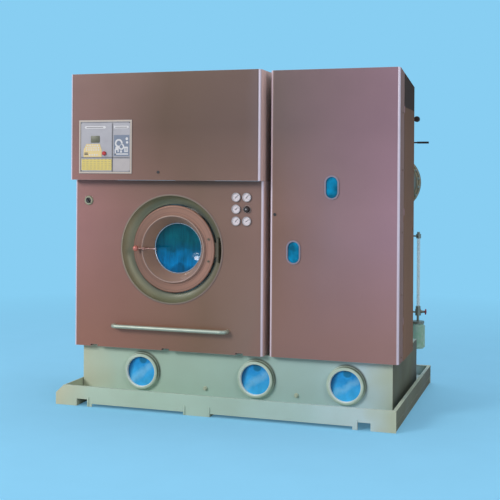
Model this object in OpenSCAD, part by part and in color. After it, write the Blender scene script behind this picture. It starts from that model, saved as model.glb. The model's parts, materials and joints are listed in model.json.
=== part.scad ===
// Dry cleaning machine on a drip tray: loading side on the left, service cabinet on the right,
// solvent tanks underneath and open machinery behind the cabinets.
// Millimetres. Origin on the floor at the middle of the tray, X right, Y back, Z up.

/* [Drip tray] */
// Width of the tray over its front wall
tray_w = 2160; // [2150:2:2300]
// Depth of the tray
tray_d = 1448; // [1440:4:1600]
// Height of the tray's rim above the floor
tray_h = 124; // [112:2:150]
// Height of the tray's bottom plate above the floor
tray_floor = 50; // [46:1:60]
// Thickness of the tray's plate
tray_t = 5; // [4:0.5:6]
// Width of the rim's inward flange
rim_w = 16; // [10:1:20]
// Gap between the floor and the walls, beside the feet
wall_gap = 19; // [10:1:24]
// How far the end plates reach past the left wall
lug_w = 54; // [40:1:56]
// Height of the left end plates' outer edge
lug_h = 74; // [62:1:84]
// Width of the outer feet
foot_w = 146; // [120:1:170]
// Width of the middle foot
mid_foot_w = 169; // [120:1:200]
// Width of the lifting slot beside each outer foot
slot_w = 75; // [50:1:90]
// Height of the lifting slots
slot_h = 45; // [40:1:46]
// Width of the tab beside each lifting slot
tab_w = 30; // [18:1:44]
// Thickness of the corner gussets
gusset_t = 6; // [4:1:8]

/* [Solvent tanks] */
// Width of the tank
tank_w = 2032; // [2000:2:2036]
// Depth of the tank
tank_d = 957; // [930:1:1000]
// Distance from the cabinet's front to the tank's front
tank_setback = 50; // [40:1:60]
// Height of the tank's top above the floor
tank_top = 344; // [334:1:380]
// Wall of the tank
tank_t = 5; // [4:0.5:6]
// Height of the inspection windows
window_z = 195; // [192:1:205]
// Places of the windows along the tank
window_x = [-597, 170, 736];
// Clear radius of a window
window_r = 93; // [80:1:96]
// Outer radius of a window's ring
ring_r = 120; // [112:1:125]
// How far a ring stands out
ring_depth = 28; // [22:1:34]
// Thickness of a window's glass
window_glass_t = 10; // [8:1:12]
// Radius of the suction pipes
suction_r = 24; // [18:1:28]
// Height of the suction pipes' open end
suction_end_z = 252; // [230:1:268]
// Places of the drain plugs along the tank
drain_x = [-164, 428];
// Radius of a drain plug
drain_r = 14; // [10:1:16]

/* [Cabinets] */
// Distance from the tray's front to the cabinets' front
setback = 200; // [190:1:240]
// Width of the loading side
left_w = 1286; // [1280:1:1300]
// Width of the gap between the two sides
gap_w = 40; // [20:1:50]
// Width of the service cabinet
right_w = 794; // [785:1:800]
// Depth of the cabinets
cab_d = 545; // [540:1:570]
// Height of the lower front panel
lower_h = 1075; // [1065:1:1100]
// Height of the upper front flap
upper_h = 678; // [660:1:700]
// How far the upper flap stands in front of the lower panel
flap_d = 71; // [60:1:80]
// Height of the service cabinet
right_h = 1750; // [1740:1:1790]
// How far the service cabinet's roof falls to the back
roof_fall = 71; // [40:1:90]
// Thickness of the sheet metal
sheet = 3; // [2.5:0.1:3.5]
// Outer radius of the bent edges
bend_r = 22; // [16:1:24]
// Depth of the folded edges
fold_d = 40; // [32:1:46]
// Depth of the service door's return on its hinge side
return_d = 146; // [130:1:160]

/* [Loading door] */
// From the left edge of the loading side to the door's centre
door_from_left = 678; // [670:1:690]
// From the seam under the flap down to the door's centre
door_down = 435; // [427:1:443]
// Inner radius of the dished surround where it meets the panel
dish_r = 337; // [334:1:345]
// Radius of the surround's inner edge
dish_throat_r = 285; // [283:1:290]
// Depth of the surround's dish
dish_depth = 58; // [56:1:64]
// Radius of the door disc
disc_r = 277.5; // [275:0.5:279]
// Depth of the disc's face behind the panel
disc_depth = 36; // [34:1:38]
// Radius of the raised lip
lip_r = 206; // [200:1:208]
// Width of the raised lip
lip_w = 8; // [6:1:10]
// How far the lip stands in front of the disc
lip_rise = 18; // [12:1:20]
// Radius of the funnel at the glass
funnel_r = 164; // [160:1:168]
// Depth of the glass seat behind the panel
funnel_depth = 118; // [114:1:118]
// Thickness of the door's metal
door_t = 4; // [3:0.5:5]
// Clear radius of the glass
glass_r = 158; // [150:1:159]
// Thickness of the glass
glass_t = 9; // [7:1:10]
// Radius of the latch lever's ball
ball_r = 18; // [15:1:19]
// Length of the latch lever from its spindle to the ball
lever_l = 57; // [48:1:64]
// Radius of the hinge pin
hinge_pin_r = 6; // [5:0.5:7]
// Radius of the hinge barrels
hinge_barrel_r = 11; // [10:0.5:12]

/* [Front fittings] */
// Radius of a gauge's dial
dial_r = 25; // [22:1:27]
// Distance between the gauge columns
gauge_dx = 69; // [66:1:76]
// Distance between the gauge rows
gauge_dz = 73.5; // [70:0.5:80]
// From the panel's right edge to the right gauge column
gauge_edge = 107; // [100:1:125]
// From the seam under the flap down to the top gauge row
gauge_down = 101; // [89:1:109]
// Rest angles of the needles, clockwise from straight up
needle_rest = [48, 40, 52, 44, 56];
// Radius of the timer knob
timer_r = 20; // [16:1:22]
// Radius of the main switch's bezel
switch_r = 30.5; // [26:0.5:34]
// Radius of the main switch's knob
switch_knob_r = 18; // [15:0.5:19]
// Length of the bar handle
bar_l = 794; // [600:2:820]
// Diameter of the bar handle
bar_dia = 25; // [20:1:30]
// Stand-off of the bar handle from the panel to its middle
bar_stand = 48; // [42:1:60]
// Height of the bar handle
bar_z = 486; // [450:1:560]
// From the panel's left edge to the control plate
plate_from_left = 66; // [50:1:90]
// Width of the control plate
plate_w = 370; // [364:1:400]
// Height of the control plate
plate_h = 340; // [334:1:360]
// From the flap's lower edge to the control plate
plate_up = 41; // [30:1:60]
// Radius of the stop button
stop_r = 13; // [10:0.5:15]
// Travel of the stop button
stop_travel = 4; // [3:0.5:5]
// Radius of a panel lock's plug
lock_r = 9; // [7:0.5:10]
// Clear width of a sight slot
slot_view_w = 72; // [60:1:80]
// Clear height of a sight slot
slot_view_h = 128; // [110:1:140]
// Width of the rim round a sight slot
slot_rim = 8.5; // [6:0.5:12]

/* [Drum and drive] */
// Outer radius of the tub
tub_r = 428; // [424:1:432]
// Depth of the tub
tub_d = 500; // [490:1:504]
// Wall of the tub
tub_t = 5; // [4:0.5:6]
// Radius of the tub's mouth
mouth_r = 212; // [210:1:214]
// Outer radius of the drum
drum_r = 404; // [394:1:408]
// Wall of the drum
drum_t = 3; // [2.5:0.5:4]
// Number of lifters in the drum
lifters = 3; // [2:1:4]
// Height of a lifter
lifter_h = 70; // [50:1:90]
// Radius of the drum's shaft
shaft_r = 30; // [25:1:34]
// Radius of the drum's pulley
pulley_r = 230; // [200:1:235]
// Radius of the motor's pulley
motor_pulley_r = 50; // [45:1:55]
// Width of the pulleys
pulley_w = 50; // [44:1:56]
// Number of belt grooves in a pulley
grooves = 3; // [2:1:4]
// Radius of the drum motor
motor_r = 90; // [80:1:95]
// Length of the drum motor
motor_l = 230; // [200:1:240]

/* [Air circuit] */
// Radius of the fan wheel
wheel_r = 145; // [130:1:150]
// Width of the fan wheel
wheel_w = 110; // [90:1:120]
// Number of fan blades
blades = 12; // [8:1:16]
// Smallest radius of the fan's scroll
scroll_min_r = 165; // [160:1:170]
// Largest radius of the fan's scroll
scroll_max_r = 250; // [235:1:255]
// Width of the fan's scroll
scroll_w = 160; // [150:1:170]
// Number of fins on the air battery
fins = 22; // [12:1:26]
// Width of the air battery
battery_w = 400; // [360:1:420]

/* [Solvent circuit] */
// Radius of the still
still_r = 215; // [190:1:220]
// Height of the still's straight wall
still_h = 560; // [500:1:600]
// Radius of the filter vessel
filter_r = 170; // [150:1:175]
// Radius of the filter vessel's flanges
flange_r = 195; // [188:1:196]
// Height of the filter vessel's axis
filter_z = 1413; // [1400:1:1430]
// Radius of the water separator's jar
jar_r = 50; // [40:1:54]
// Height of the jar
jar_h = 173; // [150:1:190]
// Radius of the sight tube
tube_r = 12; // [8:0.5:13]
// Radius of the handwheel
handwheel_r = 20; // [14:0.5:24]
// Length of the steam lever
steam_lever_l = 125; // [90:1:126]
// Radius of the regulator's knob
regulator_r = 20; // [16:1:24]

/* [Hidden] */
$fn = 64;

// Gap between pieces that seat on each other without touching
seat = 0.3;
// Radial clearance of a running fit
run = 0.05;
// Gap between sheets that swing past each other
swing = 4;

// Colours as the photograph shows them
bronze = "#8c6c62";
sage = "#a2b2a2";
dish_green = "#6f7560";
steel = "#aab0ae";
dark = "#2b2a2a";
glass_blue = "#2f86b4";
white_face = "#ecebe6";

// Levels and planes that pieces share
cab_w = left_w + gap_w + right_w;
left_x0 = -cab_w / 2;
left_x1 = left_x0 + left_w;
right_x0 = left_x1 + gap_w;
right_x1 = cab_w / 2;
front_y = -tray_d / 2 + setback;
back_y = front_y + cab_d;
tank_front = front_y + tank_setback;
tank_back = tank_front + tank_d;
lower_top = tank_top + lower_h;
door_z = lower_top - door_down;
gauge_z = lower_top - gauge_down;
flap_front = front_y - flap_d;
flap_back = front_y - 2;
flap_top = lower_top + upper_h;
right_top = tank_top + right_h;
door_x = left_x0 + door_from_left;
wall_x = -tray_w / 2 + lug_w;

// Two-way helpers
module block(low, high) { translate(low) cube(high - low); }

module rod_x(x0, x1, y, z, r) { translate([x0, y, z]) rotate([0, 90, 0]) cylinder(r = r, h = x1 - x0); }

module rod_y(x, y0, y1, z, r) { translate([x, y0, z]) rotate([-90, 0, 0]) cylinder(r = r, h = y1 - y0); }

module rod_z(x, y, z0, z1, r) { translate([x, y, z0]) cylinder(r = r, h = z1 - z0); }

// Turns a profile of [radius, depth] points about an axis that runs back from [x, y, z]
module turned(x, y, z) { translate([x, y, z]) rotate([-90, 0, 0]) rotate_extrude() children(); }

// A quarter bend of a pipe, in the plane of its first two axes, from [bend, 0] to [0, bend]
module pipe_bend(bend, r) { rotate_extrude(angle = 90) translate([bend, 0]) circle(r = r); }

// Points of an arc about [cx, cy] with separate radii along each axis
function arc_points(cx, cy, rx, ry, from, to, steps) =
    [for (i = [0:steps]) let (a = from + (to - from) * i / steps) [cx + rx * cos(a), cy + ry * sin(a)]];

// A sheet bent at both ends: front face at y = 0, folded back at x = 0 and x = w
module bent_sheet(w, left_d, right_d) {
    translate([bend_r, 0]) square([w - 2 * bend_r, sheet]);
    for (end = [[0, left_d], [1, right_d]])
        translate([end[0] * w, 0]) mirror([end[0], 0]) {
            translate([0, bend_r]) square([sheet, end[1] - bend_r]);
            translate([bend_r, bend_r]) intersection() {
                difference() {
                    circle(r = bend_r);
                    circle(r = bend_r - sheet);
                }
                translate([-bend_r, -bend_r]) square(bend_r);
            }
        }
}

// A front panel: the bent sheet with a stiffening flange along its top and bottom
module panel(x0, y0, z0, w, h, left_d, right_d, flange) {
    translate([x0, y0, z0]) linear_extrude(h) bent_sheet(w, left_d, right_d);
    for (z = [z0, z0 + h - sheet])
        block([x0 + bend_r, y0 + sheet, z], [x0 + w - bend_r, y0 + flange, z + sheet]);
}

// ---------------------------------------------------------------- drip tray

tray_x0 = -tray_w / 2;
tray_x1 = tray_w / 2;
tray_y0 = -tray_d / 2;

// Outline of the front and back walls: feet, lifting slots, tabs and the cut corner of the lug
function wall_outline() = [
    [tray_x0, 0], [tray_x0 + foot_w, 0], [tray_x0 + foot_w, slot_h],
    [tray_x0 + foot_w + slot_w, slot_h], [tray_x0 + foot_w + slot_w, 0],
    [tray_x0 + foot_w + slot_w + tab_w, 0], [tray_x0 + foot_w + slot_w + tab_w, wall_gap],
    [mid_foot_x0, wall_gap], [mid_foot_x0, 0], [mid_foot_x0 + mid_foot_w, 0],
    [mid_foot_x0 + mid_foot_w, wall_gap],
    [tray_x1 - foot_w - slot_w - tab_w, wall_gap], [tray_x1 - foot_w - slot_w - tab_w, 0],
    [tray_x1 - foot_w - slot_w, 0], [tray_x1 - foot_w - slot_w, slot_h],
    [tray_x1 - foot_w, slot_h], [tray_x1 - foot_w, 0], [tray_x1, 0],
    [tray_x1, tray_h], [wall_x, tray_h], [tray_x0, lug_h]
];
mid_foot_x0 = -211;

module end_wall(y) {
    translate([0, y + tray_t, 0]) rotate([90, 0, 0]) linear_extrude(tray_t) polygon(wall_outline());
}

// A runner under the tray, as long as the tray between its end walls
module runner(x0, x1) {
    difference() {
        block([x0, tray_y0 + tray_t, 0], [x1, -tray_y0 - tray_t, tray_floor]);
        block([x0 + tray_t, tray_y0, tray_t], [x1 - tray_t, -tray_y0, tray_floor - tray_t]);
    }
}

module drip_tray() {
    color(sage) {
        for (y = [tray_y0, -tray_y0 - tray_t])
            end_wall(y);
        block([wall_x, tray_y0 + tray_t, tray_floor], [tray_x1, -tray_y0 - tray_t, tray_floor + tray_t]);
        for (x = [wall_x, tray_x1 - tray_t])
            block([x, tray_y0 + tray_t, tray_floor + tray_t], [x + tray_t, -tray_y0 - tray_t, tray_h]);
        // Rim flanges, folded inwards
        for (y = [tray_y0 + tray_t, -tray_y0 - tray_t - rim_w])
            block([wall_x + tray_t, y, tray_h - tray_t], [tray_x1 - tray_t, y + rim_w, tray_h]);
        block([tray_x1 - tray_t - rim_w, tray_y0 + tray_t + rim_w, tray_h - tray_t],
              [tray_x1 - tray_t, -tray_y0 - tray_t - rim_w, tray_h]);
        // Runners that carry the load to the floor
        runner(tray_x0 + tray_t, tray_x0 + foot_w);
        runner(mid_foot_x0, mid_foot_x0 + mid_foot_w);
        runner(tray_x1 - foot_w, tray_x1 - tray_t);
        // Gussets behind the left lugs
        for (y = [tray_y0 + tray_t, -tray_y0 - tray_t - gusset_t])
            translate([0, y + gusset_t, 0]) rotate([90, 0, 0]) linear_extrude(gusset_t)
                polygon([[tray_x0 + tray_t, tray_floor], [wall_x, tray_floor], [wall_x, tray_h - tray_t],
                         [tray_x0 + tray_t, lug_h - tray_t]]);
    }
}

// ---------------------------------------------------------------- solvent tanks

tank_x0 = -tank_w / 2;
tank_x1 = tank_w / 2;
tank_z0 = tray_floor + tray_t;
partition_x = [for (i = [0:len(window_x) - 2]) (window_x[i] + window_x[i + 1]) / 2];
suction_y = tank_front + 80;
suction_flange_t = 8;

module base_tank() {
    color(sage) difference() {
        block([tank_x0, tank_front, tank_z0], [tank_x1, tank_back, tank_top]);
        // Compartments between the partitions
        for (i = [0:len(window_x) - 1]) {
            lo = i == 0 ? tank_x0 + tank_t : partition_x[i - 1] + tank_t / 2;
            hi = i == len(window_x) - 1 ? tank_x1 - tank_t : partition_x[i] - tank_t / 2;
            block([lo, tank_front + tank_t, tank_z0 + tank_t], [hi, tank_back - tank_t, tank_top - tank_t]);
        }
        for (x = window_x) {
            rod_y(x, tank_front - 1, tank_front + tank_t + 1, window_z, window_r);
            rod_z(x, suction_y, tank_top - tank_t - 1, tank_top + 1, suction_r + seat);
        }
        for (x = drain_x)
            rod_y(x, tank_front - 1, tank_front + tank_t + 1, drain_z, drain_r * 0.7 + seat);
    }
}

module window_rings() {
    step = 4;
    round_r = (ring_r - step - window_r) * 0.5;
    color(sage) for (x = window_x)
        turned(x, tank_front - ring_depth, window_z) polygon(concat(
            [[window_r, ring_depth - window_glass_t], [window_r, 6], [window_r + 4, 0]],
            arc_points(ring_r - step - round_r, round_r, round_r, round_r, -90, 0, 5),
            [[ring_r - step, ring_depth - 8], [ring_r, ring_depth - 6], [ring_r, ring_depth],
             [window_r + glass_seat, ring_depth], [window_r + glass_seat, ring_depth - window_glass_t]]));
}

glass_seat = 7;

module window_glasses() {
    color(glass_blue) for (x = window_x)
        rod_y(x, tank_front - window_glass_t, tank_front, window_z, window_r + glass_seat - seat);
}

module suction_pipes() {
    color(steel) for (x = window_x)
        difference() {
            union() {
                rod_z(x, suction_y, suction_end_z, tank_top + 60, suction_r);
                rod_z(x, suction_y, tank_top, tank_top + suction_flange_t, suction_r + 20);
                rod_z(x, suction_y, tank_top + 48, tank_top + 60, suction_r + 14);
            }
            rod_z(x, suction_y, suction_end_z - 1, tank_top + 48, suction_r - 4);
        }
}

drain_z = 114;

module drain_plugs() {
    color(steel) for (x = drain_x) {
        rod_y(x, tank_front - 6, tank_front, drain_z, drain_r);
        rod_y(x, tank_front, tank_front + tank_t + 8, drain_z, drain_r * 0.7);
        translate([x, tank_front - 6, drain_z]) rotate([90, 0, 0]) cylinder(r = drain_r * 0.6, h = 10, $fn = 6);
    }
}

// ---------------------------------------------------------------- frame and panels

tube = 40;
rear_post_x = 945;
rear_frame_x0 = 560;
rear_frame_y0 = back_y + 40;
rear_frame_y1 = tank_back - tube - 3;
rear_beam_top = filter_z - flange_r - 4;
pipe_frame_z = [filter_z + 197, filter_z + 467];
tub_front = front_y + 120;
tub_back = tub_front + tub_d;
cradle_y = [tub_front + 60, tub_back - 100];
cradle_t = 8;
trap_w = 200;

// A post of square tube that stands on the tank, up to a height
module post(x, y, top) { block([x, y, tank_top], [x + tube, y + tube, top]); }

// A beam of square tube between two posts along X, with its top at a height
module beam_x(x0, x1, y, top) { block([x0, y, top - tube], [x1, y + tube, top]); }

module chassis_frame() {
    color(sage) {
        // Portal round the tub, under the upper housing
        for (x = [left_x0 + sheet, left_x1 - sheet - tube]) {
            for (y = [front_y + fold_d, back_y - tube - 6])
                post(x, y, lower_top);
            block([x, front_y + fold_d + tube, lower_top - tube], [x + tube, back_y - tube - 6, lower_top]);
        }
        // Cradles under the tub
        for (y = cradle_y) difference() {
            block([door_x - tub_r * 0.8, y, tank_top], [door_x + tub_r * 0.8, y + cradle_t, door_z - tub_r * 0.5]);
            rod_y(door_x, y - 1, y + cradle_t + 1, door_z, tub_r + seat);
            block([door_x - trap_w / 2, y - 1, tank_top - 1],
                  [door_x + trap_w / 2, y + cradle_t + 1, door_z - tub_r + 60]);
        }
        // Rear portal under the filter vessel
        for (y = [rear_frame_y0, rear_frame_y1]) {
            beam_x(rear_frame_x0 + tube, rear_post_x, y, rear_beam_top);
            post(rear_post_x, y, rear_beam_top);
        }
        post(rear_frame_x0, rear_frame_y0, rear_beam_top);
        // Pipe frame above the filter vessel
        post(rear_frame_x0, rear_frame_y1, pipe_frame_z[1]);
        for (z = [pipe_frame_z[0] + tube, pipe_frame_z[1]])
            beam_x(rear_frame_x0 + tube, rear_post_x + tube, rear_frame_y1, z);
        block([rear_post_x, rear_frame_y1, pipe_frame_z[0] + tube],
              [rear_post_x + tube, rear_frame_y1 + tube, pipe_frame_z[1] - tube]);
    }
}

side_y0 = front_y + fold_d + 1;

module side_panels() {
    color(bronze) for (side = [[left_x0, 0], [left_x1, 1]])
        translate([side[0], 0, 0]) mirror([side[1], 0, 0]) {
            block([0, side_y0, tank_top], [sheet, back_y, lower_top - 1]);
            block([sheet, back_y - sheet, tank_top], [sheet + 30, back_y, lower_top - 1]);
        }
}

notch_x = [left_x0 + 118, left_x0 + 616, left_x1 - 178];
notch_w = 50;
notch_h = 12;
gauge_x = [left_x1 - gauge_edge - gauge_dx, left_x1 - gauge_edge];
gauge_zs = [gauge_z, gauge_z - gauge_dz, gauge_z - 2 * gauge_dz];
// The five gauges; the timer knob takes the middle place of the right column
gauge_places = [
    [gauge_x[0], gauge_zs[0]], [gauge_x[1], gauge_zs[0]], [gauge_x[0], gauge_zs[1]],
    [gauge_x[0], gauge_zs[2]], [gauge_x[1], gauge_zs[2]]
];
timer_place = [gauge_x[1], gauge_zs[1]];
switch_place = [left_x0 + 101, tank_top + 942];
case_r = dial_r + 1.5;
timer_shaft_r = 4;

module lower_front_panel() {
    color(bronze) difference() {
        panel(left_x0, front_y, tank_top, left_w, lower_h - 1, fold_d, fold_d, fold_d);
        rod_y(door_x, front_y - 1, front_y + sheet + 1, door_z, dish_r + 4);
        for (p = gauge_places)
            rod_y(p[0], front_y - 1, front_y + sheet + 1, p[1], case_r + seat);
        rod_y(timer_place[0], front_y - 1, front_y + sheet + 1, timer_place[1], timer_shaft_r + run);
        rod_y(switch_place[0], front_y - 1, front_y + sheet + 1, switch_place[1], switch_r - 8 + seat);
        for (x = notch_x)
            block([x, front_y - 1, tank_top - 1], [x + notch_w, front_y + fold_d + 1, tank_top + notch_h]);
    }
}

hinge_x = door_x + disc_r + 25.5;
hinge_y = front_y + 30;
bracket_z = [-75, -46, 46, 75];

module door_surround() {
    skin = 3;
    color(dish_green) difference() {
        turned(door_x, front_y, door_z) polygon(concat(
            [[dish_r + 12, 0], [dish_r + 12, -2], [dish_r + 8, -4], [dish_r + 2, -4], [dish_r, -2]],
            arc_points(dish_throat_r, 0, dish_r - dish_throat_r, dish_depth, 0, 90, 10),
            arc_points(dish_throat_r, 0, dish_r - dish_throat_r + skin, dish_depth + skin, 90, 0, 10)));
        // Windows for the hinge bracket's two arms
        for (z = [bracket_z[0], bracket_z[2]])
            block([hinge_x - 15, front_y + 15, door_z + z - 3], [hinge_x + 15, front_y + 80, door_z + z + 32]);
    }
}

front_lip = 30;
louvres = 9;
louvre_pitch = 46;
duct_half = 110;
scroll_y = front_y + 120;
duct_y = [scroll_y + scroll_w + 50, scroll_y + scroll_w + 220];

module upper_housing() {
    color(bronze) {
        difference() {
            block([left_x0, front_y, lower_top], [left_x1, back_y, flap_top]);
            block([left_x0 + sheet, front_y + sheet, lower_top + sheet],
                  [left_x1 - sheet, back_y - sheet, flap_top - sheet]);
            // Front opening inside its folded frame
            block([left_x0 + front_lip, front_y - 1, lower_top + front_lip],
                  [left_x1 - front_lip, front_y + sheet + 1, flap_top - front_lip]);
            // Louvres in the back
            for (i = [0:louvres - 1], x = [left_x0 + 160, door_x + 160])
                block([x, back_y - sheet - 1, lower_top + 140 + i * louvre_pitch],
                      [x + 420, back_y + 1, lower_top + 152 + i * louvre_pitch]);
            // Passage for the air duct from the tub
            block([door_x - duct_half - 5, duct_y[0] - 5, lower_top - 1],
                  [door_x + duct_half + 5, duct_y[1] + 5, lower_top + sheet + 1]);
        }
        // Fixed hinge barrels with their pins
        for (x = flap_hinge_x) {
            for (s = [-1, 1])
                rod_x(x + s * 34 - 12, x + s * 34 + 12, flap_hinge_y, flap_hinge_z, flap_barrel_r);
            rod_x(x - 34, x + 34, flap_hinge_y, flap_hinge_z, flap_pin_r);
            for (s = [-1, 1])
                block([x + s * 34 - 12, flap_hinge_y, flap_top], [x + s * 34 + 12, front_y + 40, flap_top + 2]);
        }
    }
}

// The flap's hinge line runs along the top edge, just above both sheets
flap_hinge_x = [left_x0 + 160, left_x0 + left_w / 2, left_x1 - 160];
flap_hinge_y = front_y - 1;
flap_hinge_z = flap_top + 4.5;
flap_pin_r = 1.6;
flap_barrel_r = 3.5;
flap_lock_place = [left_x0 + 616, lower_top + 51];

module upper_flap() {
    color(bronze) {
        difference() {
            panel(left_x0, flap_front, lower_top, left_w, upper_h, flap_d - 2, flap_d - 2, flap_d - 2);
            rod_y(flap_lock_place[0], flap_front - 1, flap_front + sheet + 1, flap_lock_place[1], lock_shaft_r + run);
            rod_y(stop_place[0], flap_front - 1, flap_front + sheet + 1, stop_place[1], stop_stem_r + run);
        }
        // Hinge barrels between the fixed ones
        for (x = flap_hinge_x) difference() {
            union() {
                rod_x(x - 20, x + 20, flap_hinge_y, flap_hinge_z, flap_barrel_r);
                block([x - 20, flap_back - 40, flap_top], [x + 20, flap_hinge_y, flap_top + 2]);
            }
            rod_x(x - 21, x + 21, flap_hinge_y, flap_hinge_z, flap_pin_r + run);
        }
    }
}

// ---------------------------------------------------------------- control plate and locks

plate_x0 = left_x0 + plate_from_left;
plate_z0 = lower_top + plate_up;
plate_t = 4;
plate_front = flap_front - plate_t;
plate_frame = 10;
plate_recess = 1.5;
stop_place = [plate_x0 + 179, plate_z0 + 128];
stop_stem_r = 5;
lock_shaft_r = 5;

module control_plate() {
    color(steel) difference() {
        block([plate_x0, plate_front, plate_z0], [plate_x0 + plate_w, flap_front, plate_z0 + plate_h]);
        block([plate_x0 + plate_frame, plate_front - 1, plate_z0 + plate_frame],
              [plate_x0 + plate_w - plate_frame, plate_front + plate_recess, plate_z0 + plate_h - plate_frame]);
        rod_y(stop_place[0], plate_front - 1, flap_front + 1, stop_place[1], stop_r + seat);
    }
}

overlay_t = 1.2;

// One flat overlay on the plate's recessed face, from its lower left corner
module overlay(x, z, w, h, t = overlay_t) {
    block([plate_x0 + x, plate_front + plate_recess - t, plate_z0 + z],
          [plate_x0 + x + w, plate_front + plate_recess, plate_z0 + z + h]);
}

module panel_overlays() {
    color(white_face) {
        overlay(40, 286, 150, 16);
        overlay(246, 286, 102, 16);
    }
    color(dark) overlay(84, 196, 62, 44, 2.5);
    color("#c9c35a") {
        overlay(18, 20, 212, 72);
        // Keypad, wider at its foot
        translate([0, plate_front + plate_recess, 0]) rotate([90, 0, 0]) linear_extrude(overlay_t)
            polygon([for (p = [[32, 104], [160, 104], [160, 150], [146, 188], [52, 188], [32, 150]])
                [plate_x0 + p[0], plate_z0 + p[1]]]);
    }
    color("#9aa8b4") overlay(246, 112, 106, 132);
    color("#d8c8c4") overlay(240, 18, 118, 76);
}

module stop_button() {
    head_back = flap_front - stop_travel - seat;
    head_front = head_back - 10;
    stem_back = flap_front + sheet + 12;
    color("#b02a24") turned(stop_place[0], 0, stop_place[1]) polygon([
        [0, head_front], [stop_r - 4, head_front], [stop_r, head_front + 3],
        [stop_r, head_back], [stop_stem_r, head_back], [stop_stem_r, stem_back], [0, stem_back]]);
}

// A quarter-turn lock: slotted plug, shaft and cam; the cam hangs down, or is turned from there
module quarter_lock(place, y, cam_y, cam_l, turn) {
    translate([place[0], 0, place[1]]) rotate([0, turn, 0]) {
        difference() {
            rod_y(0, y - 3, y - seat, 0, lock_r);
            block([-1.2, y - 4, -5], [1.2, y - 1.5, 5]);
        }
        rod_y(0, y - seat, cam_y + 3, 0, lock_shaft_r);
        block([-6, cam_y, -cam_l], [6, cam_y + 3, 6]);
    }
}

// Unlocked, this cam lies level above the housing's front lip
module flap_lock() { color(dark) quarter_lock(flap_lock_place, flap_front, front_y + sheet + 2, 31, 90); }

// ---------------------------------------------------------------- gauges, switch and handle

bezel_r = dial_r + 3.5;
bezel_d = 10;
dial_y = front_y - 4;
needle_y = front_y - 6.4;

module gauge_cases() {
    color(steel) for (p = gauge_places)
        turned(p[0], front_y, p[1]) polygon([
            [0, -3], [dial_r, -3], [dial_r, -bezel_d], [bezel_r - 1.5, -bezel_d], [bezel_r, -bezel_d + 1.5],
            [bezel_r, 0], [case_r, 0], [case_r, 34], [case_r - 4, 38], [8, 38], [8, 52], [0, 52]]);
}

module gauge_dials() {
    color(white_face) for (p = gauge_places)
        difference() {
            rod_y(p[0], dial_y, dial_y + 1, p[1], dial_r - 0.1);
            rod_y(p[0], dial_y - 1, dial_y + 2, p[1], 1 + run);
        }
}

module gauge_lenses() {
    color(glass_blue, 0.3) for (p = gauge_places)
        rod_y(p[0], front_y - bezel_d + 0.8, front_y - bezel_d + 2.3, p[1], dial_r - 0.1);
}

module gauge_needle(i) {
    color(dark) translate([gauge_places[i][0], 0, gauge_places[i][1]]) rotate([0, needle_rest[i], 0]) {
        rotate([-90, 0, 0]) translate([0, 0, needle_y]) cylinder(r = 3.4, h = 0.9);
        rotate([-90, 0, 0]) translate([0, 0, needle_y]) cylinder(r = 1, h = dial_y + 1 - seat - needle_y);
        translate([0, needle_y + 0.9, 0]) rotate([90, 0, 0]) linear_extrude(0.9)
            polygon([[-2, -dial_r * 0.35], [2, -dial_r * 0.35], [0.9, 0], [0.4, dial_r * 0.8], [-0.4, dial_r * 0.8],
                     [-0.9, 0]]);
    }
}

module timer_knob() {
    color(dark) translate([timer_place[0], front_y, timer_place[1]]) {
        rotate([-90, 0, 0]) rotate_extrude() polygon([
            [0, -20], [timer_r - 5, -20], [timer_r - 3, -18], [timer_r - 2, -6], [timer_r, -4], [timer_r, -seat],
            [timer_shaft_r, -seat], [timer_shaft_r, 24], [0, 24]]);
        // Finger ribs round the knob, and the pointer on its face
        for (a = [0:30:359])
            rotate([0, a, 0]) block([-1.5, -16, timer_r - 5], [1.5, -5, timer_r]);
        block([-1.2, -21, 0], [1.2, -19, timer_r - 7]);
    }
}

switch_shaft_r = 5;

module switch_bezel() {
    body_r = switch_r - 8;
    color(steel) turned(switch_place[0], front_y, switch_place[1]) polygon([
        [switch_knob_r + seat, -9], [switch_r - 4, -9], [switch_r, -3], [switch_r, 0], [body_r, 0], [body_r, 44],
        [0, 44], [0, 32], [switch_shaft_r + run, 32], [switch_shaft_r + run, 4], [switch_knob_r + seat, 4]]);
}

module switch_knob() {
    color(dark) translate([switch_place[0], front_y, switch_place[1]]) {
        rotate([-90, 0, 0]) rotate_extrude() polygon([
            [0, -11], [switch_knob_r - 1.5, -11], [switch_knob_r, -9.5], [switch_knob_r, 4 - seat],
            [switch_shaft_r, 4 - seat], [switch_shaft_r, 30], [0, 30]]);
        rotate([0, -40, 0]) block([-3.5, -22, 3 - switch_knob_r], [3.5, -10, switch_knob_r - 3]);
    }
}

module bar_handle() {
    r = bar_dia / 2;
    bend = 32;
    x0 = door_x - bar_l / 2 - 5;
    y = front_y - bar_stand;
    color(steel) translate([x0, y, bar_z]) {
        rod_x(bend + r, bar_l - bend - r, 0, 0, r);
        for (side = [0, 1]) translate([side * bar_l, 0, 0]) mirror([side, 0, 0]) {
            translate([bend + r, bend, 0]) rotate([0, 0, 180]) pipe_bend(bend, r);
            rod_y(r, bend, bar_stand, 0, r);
        }
    }
}

// ---------------------------------------------------------------- service cabinet

door_gap = 11;
service_hinge = [right_x1 - sheet / 2, front_y + return_d + door_gap / 2];
service_pin_r = 2;
service_barrel_r = 4.5;
service_hinge_z = [tank_top + 220, tank_top + right_h / 2, right_top - 260];
service_barrel_l = 40;
service_door_z0 = tank_top + swing;
strike_w = 20;
service_lock_place = [right_x0 + 32, tank_top + 872];
slot_places = [[right_x0 + 386, tank_top + 1039], [right_x0 + 151, tank_top + 644]];

// Height of the roof's outer face at a depth
function roof_z(y) = right_top - roof_fall * (y - front_y) / cab_d;

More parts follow.
